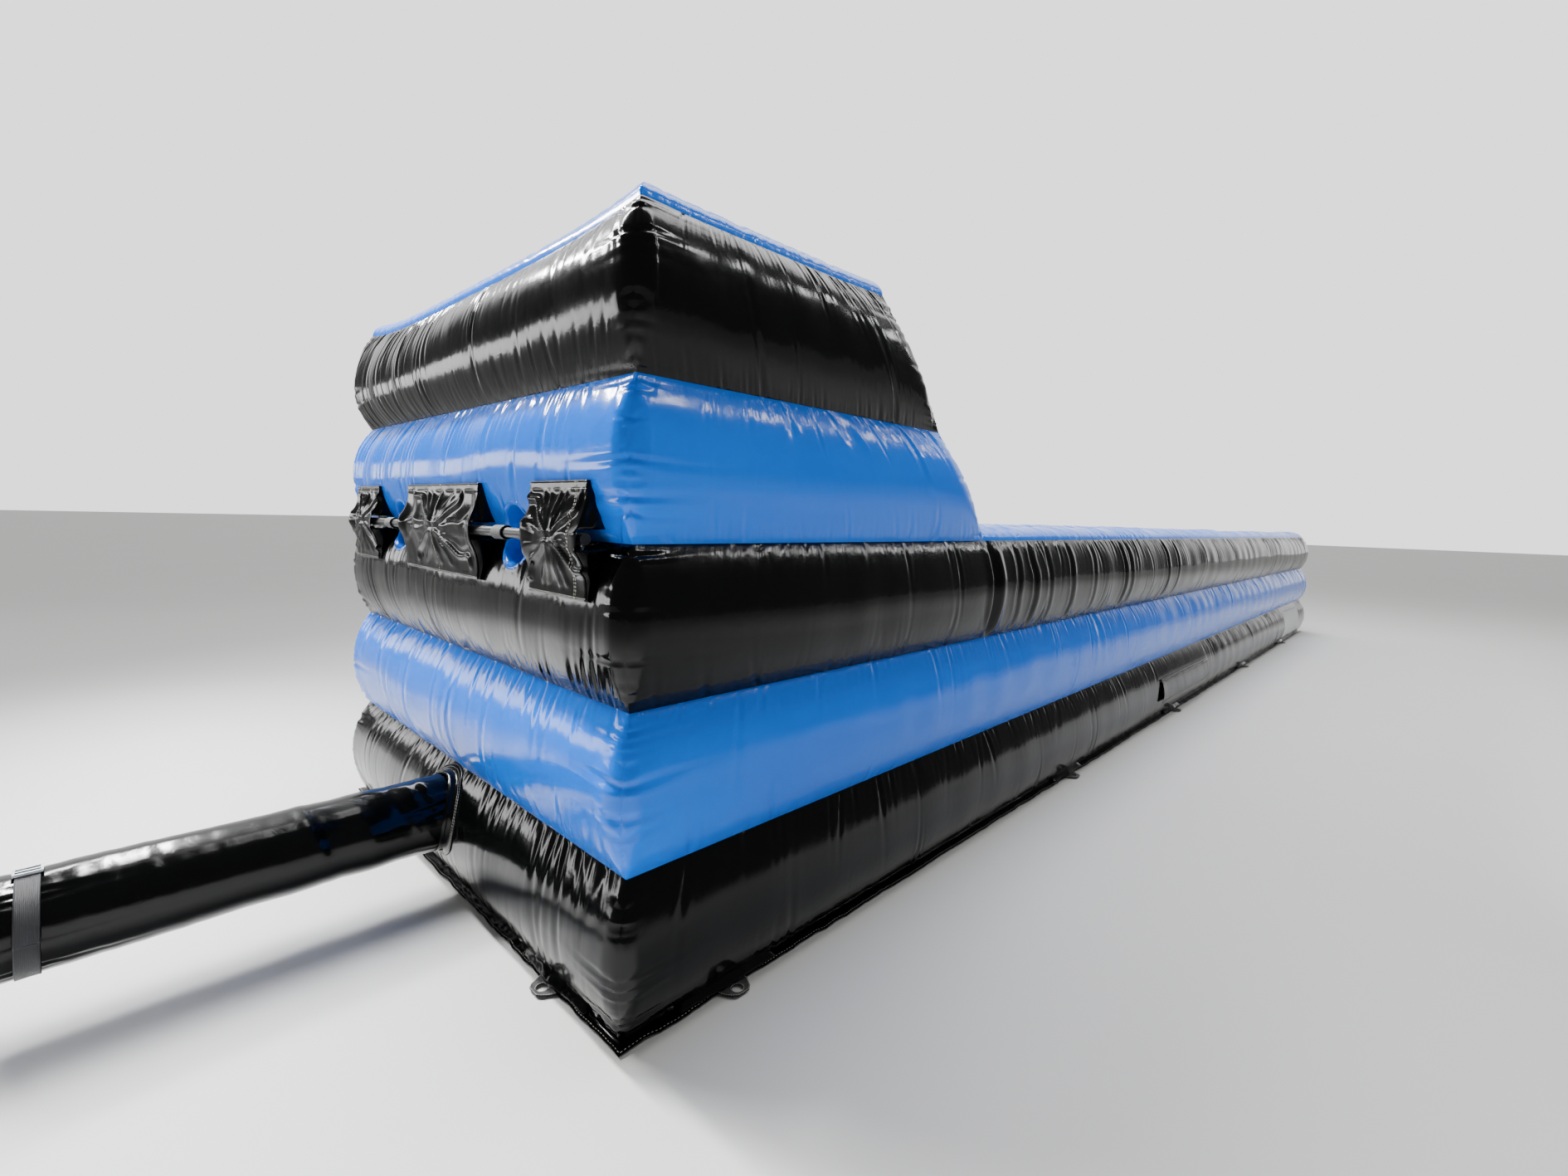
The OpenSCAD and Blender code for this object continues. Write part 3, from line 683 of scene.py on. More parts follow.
def wallTopSheet(name, xa, xb, replaced, seed):
    ys = np.linspace(towerFront - 0.16, farSeam, 700)
    xs = xa + (xb - xa) * (0.5 - 0.5 * np.cos(np.linspace(0, np.pi, 17)))

    def height(x, y):
        t = (x - xa) / (xb - xa)
        end = np.sqrt(1 - (1 - np.clip((farSeam - y) / wallTop["endRun"], 0, 1)) ** 2)
        wrinkle = foldRow(y[:, 0], 0.02, seed, 0.08, 0.006, 0.3, 0.013)[:, None]
        wrinkle = wrinkle + foldRow(y[:, 0], 0.02, seed + 5, 0.19, 0.009, 0.3, 0.02)[:, None]
        body = np.sqrt(np.clip(1 - (2 * t - 1) ** 2, 0, 1))
        return seamZ[3] + (wallTop["rise"] + 0.006 * waver(y / 0.6, seed)) * body * end + wrinkle * body

    coverSheet(name, xs, ys, height, blueVinyl, replaced)


wallTopSheet("wallTopRight", wallInner, halfWidth, ["wall_cap_right"], 71)
wallTopSheet("wallTopLeft", -halfWidth, -wallInner, ["wall_cap_left"], 74)
wallTopSheet("dividerTop", -dividerHalf, dividerHalf, ["divider_cap"], 77)


def laneSheet(name, xa, xb, replaced, seed):
    xs = np.linspace(xa, xb, 41)
    ys = np.linspace(towerFront, farSeam, 480)

    def height(x, y):
        t = np.where(np.isclose(x, xb), 1.0, (2 * (x - xa) / (xb - xa)) % 1.0)
        end = np.clip(np.minimum(farSeam - y, y - towerFront + 0.05) / 0.2, 0, 1)
        tube = 1 - (2 * t - 1) ** 2
        wrinkle = foldRow(y[:, 0], 0.02, seed, 0.1, 0.005, 0.3, 0.016)[:, None]
        rise = 0.03 * tube * np.sqrt(1 - (1 - end) ** 2)
        return seamZ[1] + rise + wrinkle * np.exp(-np.minimum(t, 1 - t) / 0.25) * np.minimum(1, tube * 8)

    coverSheet(name, xs, ys, height, blueVinyl, replaced)


laneSheet("laneFloorRight", dividerHalf, wallInner, ["lane_floor_right"], 81)
laneSheet("laneFloorLeft", -wallInner, -dividerHalf, ["lane_floor_left"], 84)
print("roof, wall tops and lanes made")

portLook = {"columns": 72, "lip": 0.016}
turnAngles = np.linspace(0, 2 * np.pi, portLook["columns"], endpoint=False)
for mark, centre in (("Right", laneX), ("Left", -laneX)):
    rings = []
    ca, sa = np.cos(turnAngles), np.sin(turnAngles)
    ripple = 0.0022 * waver(turnAngles * 9 / np.pi + centre * 10, 91)
    for r, off in ((portRadius + portLook["lip"], -0.001), (portRadius + 0.013, -0.003),
                   (portRadius + 0.008, -0.005),
                   (portRadius + 0.002, -0.003), (portRadius - 0.001, 0.004), (portRadius - 0.0025, 0.02)):
        x, z = centre + r * ca, portZ + r * sa
        rings.append(np.stack([x, backAt(x, z) + off + (ripple if abs(off) > 0.002 else 0), z], -1))
    x, z = centre + (portRadius - 0.003) * ca, portZ + (portRadius - 0.003) * sa
    yBack, yFront = backAt(x, z) + 0.045, frontAt(x, z) - 0.03
    for share in np.linspace(0, 1, 60):
        y = yBack + (yFront - yBack) * share
        slack = 0.002 * np.sin(y * 21 + 4 * waver(turnAngles * 2,
                                                  93)) - 0.003 * np.abs(waver(turnAngles * 6 + share * 3,
                                                                              95)) * np.exp(-share * 12)
        r = portRadius - 0.003 + slack - 0.0025
        rings.append(np.stack([centre + r * ca, y, portZ + r * sa], -1))
    for r, off in ((portRadius - 0.001, -0.004), (portRadius + 0.002, 0.005), (portRadius + 0.009, 0.009),
                   (portRadius + 0.018, 0.006), (portRadius + portLook["lip"], 0.001)):
        x, z = centre + r * ca, portZ + r * sa
        rings.append(np.stack([x, frontAt(x, z) + off, z], -1))
    addSheet("portLiner" + mark, [shell(np.array(rings), 0.0025, closed=True)], blueVinyl,
             ["port_liner_" + mark.lower()], "envelope")
print("ports made")

sleeveLook = {
    "thick": 0.0022,
    "step": 0.008,
    "starDepth": 0.012,
    "puff": 0.012,
    "creases": ((40, 1.0), (140, 1.0), (220, 1.0), (320, 1.0), (62, 0.5), (84, 0.65), (104, 0.4),
                (122, 0.6), (242, 0.6),
                (262, 0.5), (281, 0.65), (300, 0.5), (14, 0.45), (166, 0.45), (194, 0.4), (346, 0.4)),
    "hem": 0.03,
}
for mark, node, seed in (("Left", "sleeve_left", 5), ("Middle", "sleeve_middle", 6),
                         ("Right", "sleeve_right", 7)):
    low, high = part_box(node)
    wide, tall = high.x - low.x, high.z - low.z
    middleX, middleZ = (low.x + high.x) / 2, (low.z + high.z) / 2
    columns, rows = int(wide / sleeveLook["step"]) + 1, int(tall / sleeveLook["step"]) + 1
    a, u = np.meshgrid(np.linspace(-1, 1, columns), np.linspace(-1, 1, rows))
    x, z = middleX + a * wide / 2, middleZ + u * tall / 2
    # creases run out from the middle, where the sleeve is nipped to the bar; the strongest go to its corners
    dx, dz = a * 0.17 * (wide / 0.34) ** 0.3, z - barZ
    r, angle = np.hypot(dx, dz), np.arctan2(dz, dx)
    push = np.zeros_like(x)
    turnBy = 0.12 * waver(r / 0.05, seed)
    for degrees, share in sleeveLook["creases"]:
        turned = math.radians(degrees + 14 * (dice(degrees + 400, seed) - 0.5))
        apart = np.angle(np.exp(1j * (angle - turned + turnBy)))
        aside = r * np.sin(np.clip(apart, -1.5, 1.5)) + 10 * (np.abs(apart) > 1.5)
        width = 0.0055 + 0.05 * r * 0.5
        reach = smoothStep(r, 0.0, 0.03) * (1 - smoothStep(r, 0.13 + 0.08 * share, 0.2 + 0.08 * share))
        push += sleeveLook["starDepth"] * share * np.exp(-(aside / width) ** 2) * reach
    push *= 1 - smoothStep(np.abs(u), 0.72, 0.88)
    push += sleeveLook["puff"] * np.exp(-((np.abs(u) - 0.45) / 0.22) ** 2) * np.exp(-(dx / 0.1) ** 2)
    push += 0.0025 * waver(x / 0.05 + u * 1.5, seed + 8) * (1 - u ** 2)
    push += 0.012 * smoothStep(np.abs(a), 1 - 0.07 / wide * 2,
                               1.0) * np.exp(-3 * u ** 2) * (1 + 0.4 * waver(u * 4 + a, seed + 9))
    clear = barY - barRadius - 0.005
    bent = np.exp(-7 * ((z - barZ) / (tall / 2)) ** 2)
    surface = backAt(x, z)
    valley = np.minimum(surface, backSeam - swell + 0.001 - 0.026 * bent) - 0.004
    y = valley - np.maximum(push, -0.006 * (1 - bent))
    overBar = np.abs(z - barZ) < barRadius + 0.012
    y = np.where(overBar, np.minimum(y, clear - 0.001 * np.abs(waver(x / 0.02, seed))), y)
    # hems: a doubled top band, a turned lower edge, and a doubled strip up the end sleeves
    y -= 0.0022 * smoothStep(u * tall / 2, tall / 2 - sleeveLook["hem"] - 0.002,
                             tall / 2 - sleeveLook["hem"])
    y -= 0.0015 * (1 - smoothStep(u * tall / 2, -tall / 2 + 0.018, -tall / 2 + 0.02))
    grid = np.stack([x, y, z], -1)
    parts = [shell(grid, sleeveLook["thick"])]
    # end walls that close the sleeve back to the body, above and below the bar
    for side, edge in ((1, -1), (-1, 0)):
        for rowsKept in (z[:, 0] > barZ + barRadius + 0.006, z[:, 0] < barZ - barRadius - 0.006):
            edgeX, edgeY, edgeZ = x[rowsKept, edge] - side * 0.002, y[rowsKept, edge] + 0.003, z[rowsKept,
                                                                                                 edge]
            rootY = np.maximum(backAt(edgeX, edgeZ), edgeY + 0.002) + 0.004
            t = np.linspace(0, 1, 12)[None, :]
            wallY = edgeY[:, None] + (rootY - edgeY)[:, None] * t
            fromBar = np.abs(edgeZ - barZ)[:, None]
            turned = np.arctan2(edgeZ[:, None] - barZ, wallY - barY)
            crumple = 0.0045 * np.sin(7 * turned + seed) * smoothStep(fromBar, 0.02,
                                                                      0.06) * np.sin(np.pi * t)
            wallX = edgeX[:, None] + side * (0.007 * np.sin(np.pi * t) * smoothStep(tall / 2 - fromBar,
                                                                                    0.0, 0.06) + crumple)
            wall = np.stack([wallX, wallY, np.broadcast_to(edgeZ[:, None], wallY.shape)], -1)
            parts.append(shell(wall if side > 0 else wall[:, ::-1], 0.0015))
    addSheet("sleeve" + mark, parts, trimVinyl, [node], "envelope")
    outward = (0, -1, 0)

    def rowAt(height):
        k = int(round((height + tall / 2) / tall * (rows - 1)))
        return grid[min(max(k, 0), rows - 1)] + np.array([0, -0.0006, 0])

    for height in (tall / 2 - 0.008, tall / 2 - 0.024, -tall / 2 + 0.012):
        sewLine(rowAt(height), outward)
    upright = {"Left": (-0.62, -0.68), "Right": (0.62, 0.68), "Middle": (0.0,)}[mark]
    for share in upright:
        k = int(round((share + 1) / 2 * (columns - 1)))
        sewLine(grid[:, k] + np.array([0, -0.0006, 0]), outward)
print("sleeves made")

tubeRadius = (tubeBox[1].x - tubeBox[0].x) / 2
tubeZ = (tubeBox[1].z + tubeBox[0].z) / 2
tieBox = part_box("tube_tie")
tieY = (tieBox[0].y + tieBox[1].y) / 2
ys = np.concatenate([np.linspace(-swell + 0.012, -swell - 0.14, 26) + backSeam,
                     np.linspace(backSeam - swell - 0.152, tubeBox[0].y, 112)])
around = np.linspace(0, 2 * np.pi, 128, endpoint=False)
rootY = surfaceAt(("baseBand", 0), tubeRadius * np.cos(around), tubeZ + tubeRadius * np.sin(around), 0)
tubeGrid = []
for y in ys:
    fromRoot = np.maximum(0, rootY - y)
    gather = np.array([folds(around * tubeRadius, np.array([d]), 141, 0.05, 0.011, 0.09, 0.008)[0, k]
                       for k, d in enumerate(fromRoot)])
    fromTie = abs(y - tieY)
    tied = foldRow(around * tubeRadius, fromTie + 0.004, 151, 0.04, 0.007, 0.06, 0.007)
    squeeze = -0.0035 * math.exp(-(fromTie / 0.035) ** 2)
    long = 0.0022 * waver(around * 3 / np.pi * 2 + y * 0.8,
                          161) + 0.0018 * np.sin(y * 17 + 3 * np.sin(y * 5))
    round2 = 0.0012 * waver(y / 0.03 + np.sin(around) * 1.5, 163)
    r = tubeRadius - 0.0015 + gather + tied + squeeze + (long + round2) * min(1.0, fromTie / 0.03)
    tubeGrid.append(np.stack([r * np.cos(around), np.full_like(around, y), tubeZ + r * np.sin(around)], -1))
tubeGrid = np.array(tubeGrid)
addSheet("inflationTube", [shell(tubeGrid, 0.0028, closed=True)], blackVinyl,
         ["inflation_tube"], "envelope")
hemRow = tubeGrid[-2]
sewLine(np.vstack([hemRow, hemRow[:1]]), np.vstack([hemRow, hemRow[:1]]) - np.array([0, hemRow[0, 1],
                                                                                     tubeZ]))

collar = []
for r, off in ((0.170, -0.0008), (0.167, -0.0038), (0.158, -0.0045), (0.149, -0.006), (0.1455, -0.012),
               (0.1445, -0.024), (0.1442, -0.036)):
    x, z = r * np.cos(around), tubeZ + r * np.sin(around)
    y = surfaceAt(("baseBand", 0), x, np.clip(z, seamZ[0] + 0.002, seamZ[1] - 0.002), 0) + off
    y = y - 0.002 * np.abs(waver(around * 14 / np.pi, 171)) * (r > 0.15)
    collar.append(np.stack([x, y, z], -1))
collar = np.array(collar)
addSheet("tubeCollar", [shell(collar, 0.0022, closed=True)], trimVinyl, ["tube_collar"],
         "envelope")
for ring in (1, 2):
    sewLine(np.vstack([collar[ring], collar[ring][:1]]) + np.array([0, -0.0006, 0]), (0, -1, 0))

tie = []
for y in np.linspace(tieBox[1].y, tieBox[0].y, 9):
    r = tubeRadius + 0.0026 + 0.0006 * waver(around * 9 / np.pi,
                                             181) + 0.0008 * abs((y - tieY) / 0.025) ** 3
    tie.append(np.stack([r * np.cos(around), np.full_like(around, y), tubeZ + r * np.sin(around)], -1))
addSheet("tubeTie", [shell(np.array(tie), 0.0022, closed=True)], webbing, ["tube_tie"],
         "envelope")
print("tube made")

strapLook = {"width": 0.05, "thick": 0.0024, "hitchWidth": 0.074, "wire": 0.0057, "length": 0.22,
             "half": 0.0031,
             "ringReach": 0.0332}
# the ring lies just above the port
drop = math.asin((portRadius + 0.0002 - strapLook["ringReach"]) / strapLook["length"])
for mark, centre in (("right", laneX), ("left", -laneX)):
    turn = Matrix.Translation((centre, barY, barZ)) @ Matrix.Rotation(-drop, 4, "X")

    def placed(grid):
        flatGrid = grid.reshape(-1, 3) @ np.array(turn.to_3x3()).T + np.array(turn.translation)
        return flatGrid.reshape(grid.shape)

    bend = barRadius + 0.0032
    opening = math.asin(strapLook["half"] / bend)
    barAngles = np.linspace(opening, 2 * math.pi - opening, 40)
    nose = math.asin(min(0.95, strapLook["half"] / (strapLook["wire"] + 0.0012)))
    noseAngles = np.linspace(-math.pi + nose, math.pi - nose, 18)
    tail = np.linspace(bend + 0.004, strapLook["length"] - 0.009, 22)
    loop = np.array([(bend * math.cos(t), bend * math.sin(t)) for t in barAngles]
                    + [(t, -strapLook["half"] - 0.0004 * math.sin(t * 90)) for t in tail]
                    + [(strapLook["length"] + (strapLook["wire"] + 0.0012) * math.cos(t),
                        (strapLook["wire"] + 0.0012) * math.sin(t)) for t in noseAngles]
                    + [(t, strapLook["half"] + 0.0004 * math.sin(t * 70)) for t in tail[::-1]])
    across = np.linspace(-strapLook["width"] / 2, strapLook["width"] / 2, 7)
    band = np.array([[(w, p[0], p[1]) for p in loop] for w in across])
    wrapAngles = np.linspace(0, 2 * math.pi, 48, endpoint=False)
    wrapAcross = np.linspace(-strapLook["hitchWidth"] / 2, strapLook["hitchWidth"] / 2, 11)
    wrap = np.array([[(w + 0.0012 * math.sin(3 * t + 1),
                       (barRadius + 0.0062 + 0.0007 * math.cos(w * 500)) * math.cos(t),
                       (barRadius + 0.0062
                        + 0.0007 * math.cos(w * 500)) * math.sin(t)) for t in wrapAngles] for w in wrapAcross])
    addSheet("strap" + mark.title(), [shell(placed(band), strapLook["thick"], closed=True),
                                      shell(placed(wrap), strapLook["thick"], closed=True)],
             webbing, ["strap_"
                                        + mark], "strap_" + mark)
    for side in (-1, 1):
        face = np.array([0, 0, side], float) @ np.array(turn.to_3x3()).T
        for w in (-0.02, 0.02):
            line = np.array([(w, t, side * (strapLook["half"] + 0.0008)) for t in np.linspace(0.035, 0.2,
                                                                                              30)])
            sewLine(placed(line), face, "strap_" + mark, pitch=0.007, size=0.8)
        for w0, w1 in ((-0.02, 0.02), (0.02, -0.02)):
            line = np.array([(w0 + (w1 - w0) * k / 9, 0.15 + 0.05 * k / 9,
                              side * (strapLook["half"] + 0.0008)) for k in range(10)])
            sewLine(placed(line), face, "strap_" + mark, pitch=0.007, size=0.8)
print("straps made")

skirtLook = {"inside": 0.05, "outside": 0.04, "ruffle": 0.009, "gap": 0.07, "height": 0.0048, "step": 0.011}
groundLook = {"inset": 0.02, "thick": 0.003}
inset = groundLook["inset"]
sheetX, sheetY = np.meshgrid(np.linspace(-halfWidth + inset, halfWidth - inset, 16),
                             np.linspace(backSeam + inset, farSeam - inset, 60))
sheetGrid = np.stack([sheetX, sheetY, np.full(sheetX.shape, groundLook["thick"])], -1)
addSheet("groundSheet", [shell(sheetGrid, groundLook["thick"])], blackVinyl,
         ["ground_sheet"], "envelope")
planPoints, outwards, runs = [], [], []
walked = 0.0
for i in range(4):
    a, b = np.array(baseCorners[i]), np.array(baseCorners[(i + 1) % 4])
    run = (b - a) / np.linalg.norm(b - a)
    out = np.array([run[1], -run[0]])
    before = a - np.array(baseCorners[i - 1])
    before /= np.linalg.norm(before)
    outBefore = np.array([before[1], -before[0]])
    after = np.array(baseCorners[(i + 2) % 4]) - b
    after /= np.linalg.norm(after)
    outAfter = np.array([after[1], -after[0]])
    length = np.linalg.norm(b - a)
    n = int(length / skirtLook["step"])
    for k in range(n):
        s = k * length / n
        planPoints.append(a + run * s)
        mitre = out + outBefore * max(0, 1 - s / 0.04) + outAfter * max(0, 1 - (length - s) / 0.04)
        outwards.append(mitre)
        runs.append(walked + s)
    walked += length
planPoints, outwards, runs = np.array(planPoints), np.array(outwards), np.array(runs)
gatherK = np.abs(waver(runs / skirtLook["gap"] * 2, 201)) * (0.4 + 0.6 * np.abs(waver(runs / 0.5, 203)))
skirt = []
for d in (1.0, 0.985, 0.8, 0.6, 0.4, 0.2, 0.0, -0.3, -0.8):
    reach = skirtLook["outside"] * d if d > 0 else skirtLook["inside"] * d
    wavy = reach + (0.004 * waver(runs / 0.06, 205) if d > 0.5 else 0)
    plan = planPoints + outwards * np.asarray(wavy)[:,
                                                    None] if np.ndim(wavy) else planPoints + outwards * wavy
    lift = skirtLook["height"] + skirtLook["ruffle"] * gatherK * max(0.0,
                                                                     d) ** 1.2 + (0.01 * max(0.0,
                                                                                             1 - abs(d
                                                                                                     - 0.1) * 2))
    if d < 0:
        lift = np.full_like(runs, skirtLook["height"])
    skirt.append(np.column_stack([plan, lift]))
skirt = np.array(skirt)
addSheet("groundSkirt", [shell(skirt, 0.002, closed=True)], trimVinyl, [], "envelope")
sewLine(skirt[2] + np.array([0, 0, 0.0008]), (0, 0, 1), pitch=0.013)

anchorLook = {
    "places": (0.0322, 0.2602, 0.4424, 0.6644, 0.861),   # shares of the body's length
    "eyeOut": 0.062,             # eye's centre from the seam
    "eyeRadius": 0.018,
    "webThick": 0.0046,
    "gussetHalf": 0.2,
    "root": 0.013,
}
anchorPlaces = []
for part in anchorLook["places"]:
    for side in (1, -1):
        anchorPlaces.append((side * halfWidth, backSeam + part * (farSeam - backSeam),
                             0.0 if side > 0 else math.pi, "right" if side > 0 else "left"))
for side in (1, -1):
    anchorPlaces.append((side * 0.35 * 2 * halfWidth, backSeam, -math.pi / 2, "back"))
outline = np.array([(14, -65), (42, -58.5), (78, -39), (92, -22.75), (92, 22.75), (78, 39), (42, 58.5),
                    (14, 65)]) / 1000


def edgeDistance(angle):                     # from the eye's centre to the outline
    best = 1.0
    dx, dy = math.cos(angle), math.sin(angle)
    for k in range(len(outline)):
        p, q = [outline[(k + n) % len(outline)] - (anchorLook["eyeOut"], 0) for n in (0, 1)]
        e = q - p
        det = dx * -e[1] + dy * e[0]
        if abs(det) < 1e-12:
            continue
        t = (p[0] * -e[1] + p[1] * e[0]) / det
        w = (dx * p[1] - dy * p[0]) / det
        if t > 0 and -1e-9 <= w <= 1 + 1e-9:
            best = min(best, t)
    return best


eyeAngles = np.linspace(0, 2 * np.pi, 64, endpoint=False)
reachOut = np.array([edgeDistance(t) for t in eyeAngles])
gussetParts, loopParts = [], {"right": [], "left": [], "back": []}
for number, (px, py, angle, where) in enumerate(anchorPlaces):
    ca, sa = math.cos(angle), math.sin(angle)

    def placed(grid):
        x, y, z = grid[..., 0], grid[..., 1], grid[..., 2]
        return np.stack([px + x * ca - y * sa, py + x * sa + y * ca, z], -1)

    rings = []
    for k, share in enumerate((1.0, 0.97, 0.75, 0.5, 0.25, 0.04, 0.0)):
        r = anchorLook["eyeRadius"] + (reachOut - anchorLook["eyeRadius"]) * share
        ripple = 0.0012 * waver(eyeAngles * 4 + number, 211) * share
        height = 0.0082 + ripple - (0.0012 if k in (0,
                                                    6) else 0) + 0.012 * np.clip(r * np.cos(eyeAngles) / 0.03, 0, 1) * 0.25 * share
        rings.append(np.stack([anchorLook["eyeOut"] + r * np.cos(eyeAngles), r * np.sin(eyeAngles),
                               height], -1))
    rings = np.array(rings)
    loopParts[where].append(shell(placed(rings), anchorLook["webThick"], closed=True))
    for share in (1, 5):
        inset = rings[2] if share == 1 else rings[4]
        mixed = rings[share] + (inset - rings[share]) * (0.35 if share == 1 else 0.2)
        line = placed(mixed)
        sewLine(np.vstack([line, line[:1]]) + np.array([0, 0, 0.0006]), (0, 0, 1), pitch=0.008, size=0.85)
    along = np.linspace(-anchorLook["gussetHalf"], anchorLook["gussetHalf"], 61)
    taper = np.sqrt(np.clip(1 - (along / anchorLook["gussetHalf"]) ** 4, 0, 1))
    hug = []
    for k, t in enumerate((0.0, 0.12, 0.3, 0.5, 0.7, 0.88, 1.0)):
        outer = 0.032 + 0.011 * np.exp(-(along / 0.09) ** 2)
        x = anchorLook["root"] + (outer - anchorLook["root"]) * t
        z = 0.0085 + (0.034 * (1 - t) ** 1.3) * taper + 0.006 * math.sin(math.pi * t) * taper
        z = z + 0.0045 * np.abs(waver(along / 0.028 + number * 7, 221)) * (0.25 + t) * taper
        hug.append(np.stack([x, along, z + 0.0016], -1))
    hug = np.array(hug)[:, ::-1]             # its outer side looks up and away
    gussetParts.append(shell(placed(hug)[::-1], 0.002))
    for k in (4, 5):
        sewLine(placed(hug[k]) + np.array([0, 0, 0.001]), (ca * 0.5, sa * 0.5, 0.85), pitch=0.009)
addSheet("anchorGussets", gussetParts, trimVinyl, ["anchor_gussets"], "envelope")
for where, parts in loopParts.items():
    addSheet("anchorLoops" + where.title(), parts, webbing, ["anchor_loops_" + where],
             "envelope")
print("skirt and anchors made")


def sideGrid(yLow, yHigh, zLow, zHigh, columns, rows, off):
    y, z = np.meshgrid(np.linspace(yLow, yHigh, columns), np.linspace(zLow, zHigh, rows))
    x = surfaceAt(("baseBand", 1), y, z, 1)
    return np.stack([x + off(y, z), y, z], -1)


zipLow, zipHigh = zipBox
flapTall = zipHigh.z - zipLow.z


def flapOff(y, z):
    share = (z - zipLow.z) / flapTall
    ends = (y - zipLow.y) / (zipHigh.y - zipLow.y)
    puff = 0.0105 + 0.0045 * np.sin(np.pi * np.clip(share, 0, 1)) + 0.0016 * waver(y / 0.07 + z * 9, 231)
    curl = 0.012 * np.exp(-ends / 0.035) * (1 - share) + 0.004 * np.exp(-(1 - ends) / 0.03) * (1 - share)
    return puff + curl + 0.0025 * waver(y / 0.19, 233) * (1 - share)


flap = sideGrid(zipLow.y, zipHigh.y, zipLow.z, zipHigh.z, 150, 22, flapOff)
addSheet("zipFlap", [shell(flap, 0.0022)], trimVinyl, ["zip_flap"], "zip_cover")
lift = np.array([0.0007, 0, 0])
for row in (1, 3):
    sewLine(flap[row, 2:-2] + lift, (1, 0, -0.3), "zip_cover")
sewLine(flap[-2, 2:-2] + lift, (1, 0, 0.3), "zip_cover")
for column in (2, -3):
    sewLine(flap[1:-1, column] + lift, (1, 0, 0), "zip_cover")

bindLow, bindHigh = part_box("zip_binding")
binding = sideGrid(bindLow.y, bindHigh.y, bindLow.z, bindHigh.z, 130, 6,
                   lambda y, z: 0.004 + 0.0075 * np.sqrt(np.clip(1
                                                                 - (2 * (z - bindLow.z) / (bindHigh.z
                                                                                           - bindLow.z) - 1) ** 2, 0, 1)))
addSheet("zipBinding", [shell(binding, 0.0035)], trimVinyl, ["zip_binding"], "envelope")
sewLine(binding[1] + lift, (1, 0, 0))

tapeLow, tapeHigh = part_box("zip_tape")
tape = sideGrid(tapeLow.y, tapeHigh.y, tapeLow.z, tapeHigh.z, 140, 8, lambda y,
                z: 0.0016 + 0.0003 * waver(y / 0.05, 241))
addSheet("zipTape", [shell(tape, 0.0012)], zipCloth, ["zip_tape"], "envelope")
zipZ = (tapeLow.z + tapeHigh.z) / 2
toothY = np.arange(tapeLow.y + 0.02, tapeHigh.y - 0.02, 0.006)      # real pitch is 3 mm
faceX = surfaceAt(("baseBand", 1), toothY, zipZ, 1)
toothPoints, toothFaces = [], []
for k, (y, x) in enumerate(zip(toothY, faceX)):
    shift = 0.0012 if k % 2 else -0.0012
    for dx, grow in ((0.0012, 1.0), (0.0042, 0.75)):
        for dy, dz in ((-1, -1), (1, -1), (1, 1), (-1, 1)):
            toothPoints.append((x + dx, y + dy * 0.0022 * grow, zipZ + shift + dz * 0.0028 * grow))
    o = 8 * k
    toothFaces += [(o + 3, o + 2, o + 1, o), (o + 4, o + 5, o + 6, o + 7)] + [(o + c, o + (c + 1) % 4,
                                                                               o + 4 + (c
                                                                                        + 1) % 4, o + 4 + c) for c in range(4)]
addObject("zipTeeth", toothPoints, toothFaces, zipTooth, smooth=False)

patchLow, patchHigh = patchBox
panel = sideGrid(patchLow.y, patchHigh.y, patchLow.z, patchHigh.z, 90, 30, lambda y,
                 z: 0.0022 + 0.0012 * waver(y / 0.09 + z * 4, 251))
addSheet("blankPanel", [shell(panel, 0.0012)], patchWhite, ["blank_patch"], "envelope")
for row in (1, -2):
    sewLine(panel[row] + lift, (1, 0, 0), pitch=0.014)
print("zip and panel made")

for body, parts in stitchParts.items():
    part = joined(parts)
    addObject("stitching." + body, part["points"], part["faces"], threadCream, body)

finishes = {"bungee_bar": barPaint, "bar_caps": plugPlastic, "ring_left": ringZinc, "ring_right": ringZinc,
            "tube_buckle": buckleZinc,
            "zip_slider": zipNickel, "floor_webs": innerCloth, "tower_ties": innerCloth, "wall_ties_left": innerCloth,
            "wall_ties_right": innerCloth, "divider_ties": innerCloth}
for node, material in finishes.items():
    shown[node].data.materials.clear()
    shown[node].data.materials.append(material)
print("finishes set")

studioLook = {
    "floor": "#dcdcda",
    "wallColour": "#ffffff",
    "wallStrength": 1.9,         # bright end of the hall, past the open end
    "hallStrength": 0.16,        # the rest of the hall
}
ground = bpy.data.meshes.new("studioFloor")
ground.from_pydata([(-90, -90, -0.002), (90, -90, -0.002), (90, 90, -0.002), (-90, 90, -0.002)], [],
                   [(0, 1, 2, 3)])
floorPiece = bpy.data.objects.new("studioFloor", ground)
bpy.context.scene.collection.objects.link(floorPiece)
paper, paperTree, paperShader = newMaterial("matt-floor-paint")
paperShader.inputs["Roughness"].default_value = 0.8
paperCloud = noise(paperTree, addNode(paperTree, "ShaderNodeTexCoord").outputs["Object"], 0.6, 5.0)
tinted(paperTree, paperShader, studioLook["floor"], 0.97, 1.03, paperCloud)
ground.materials.append(paper)

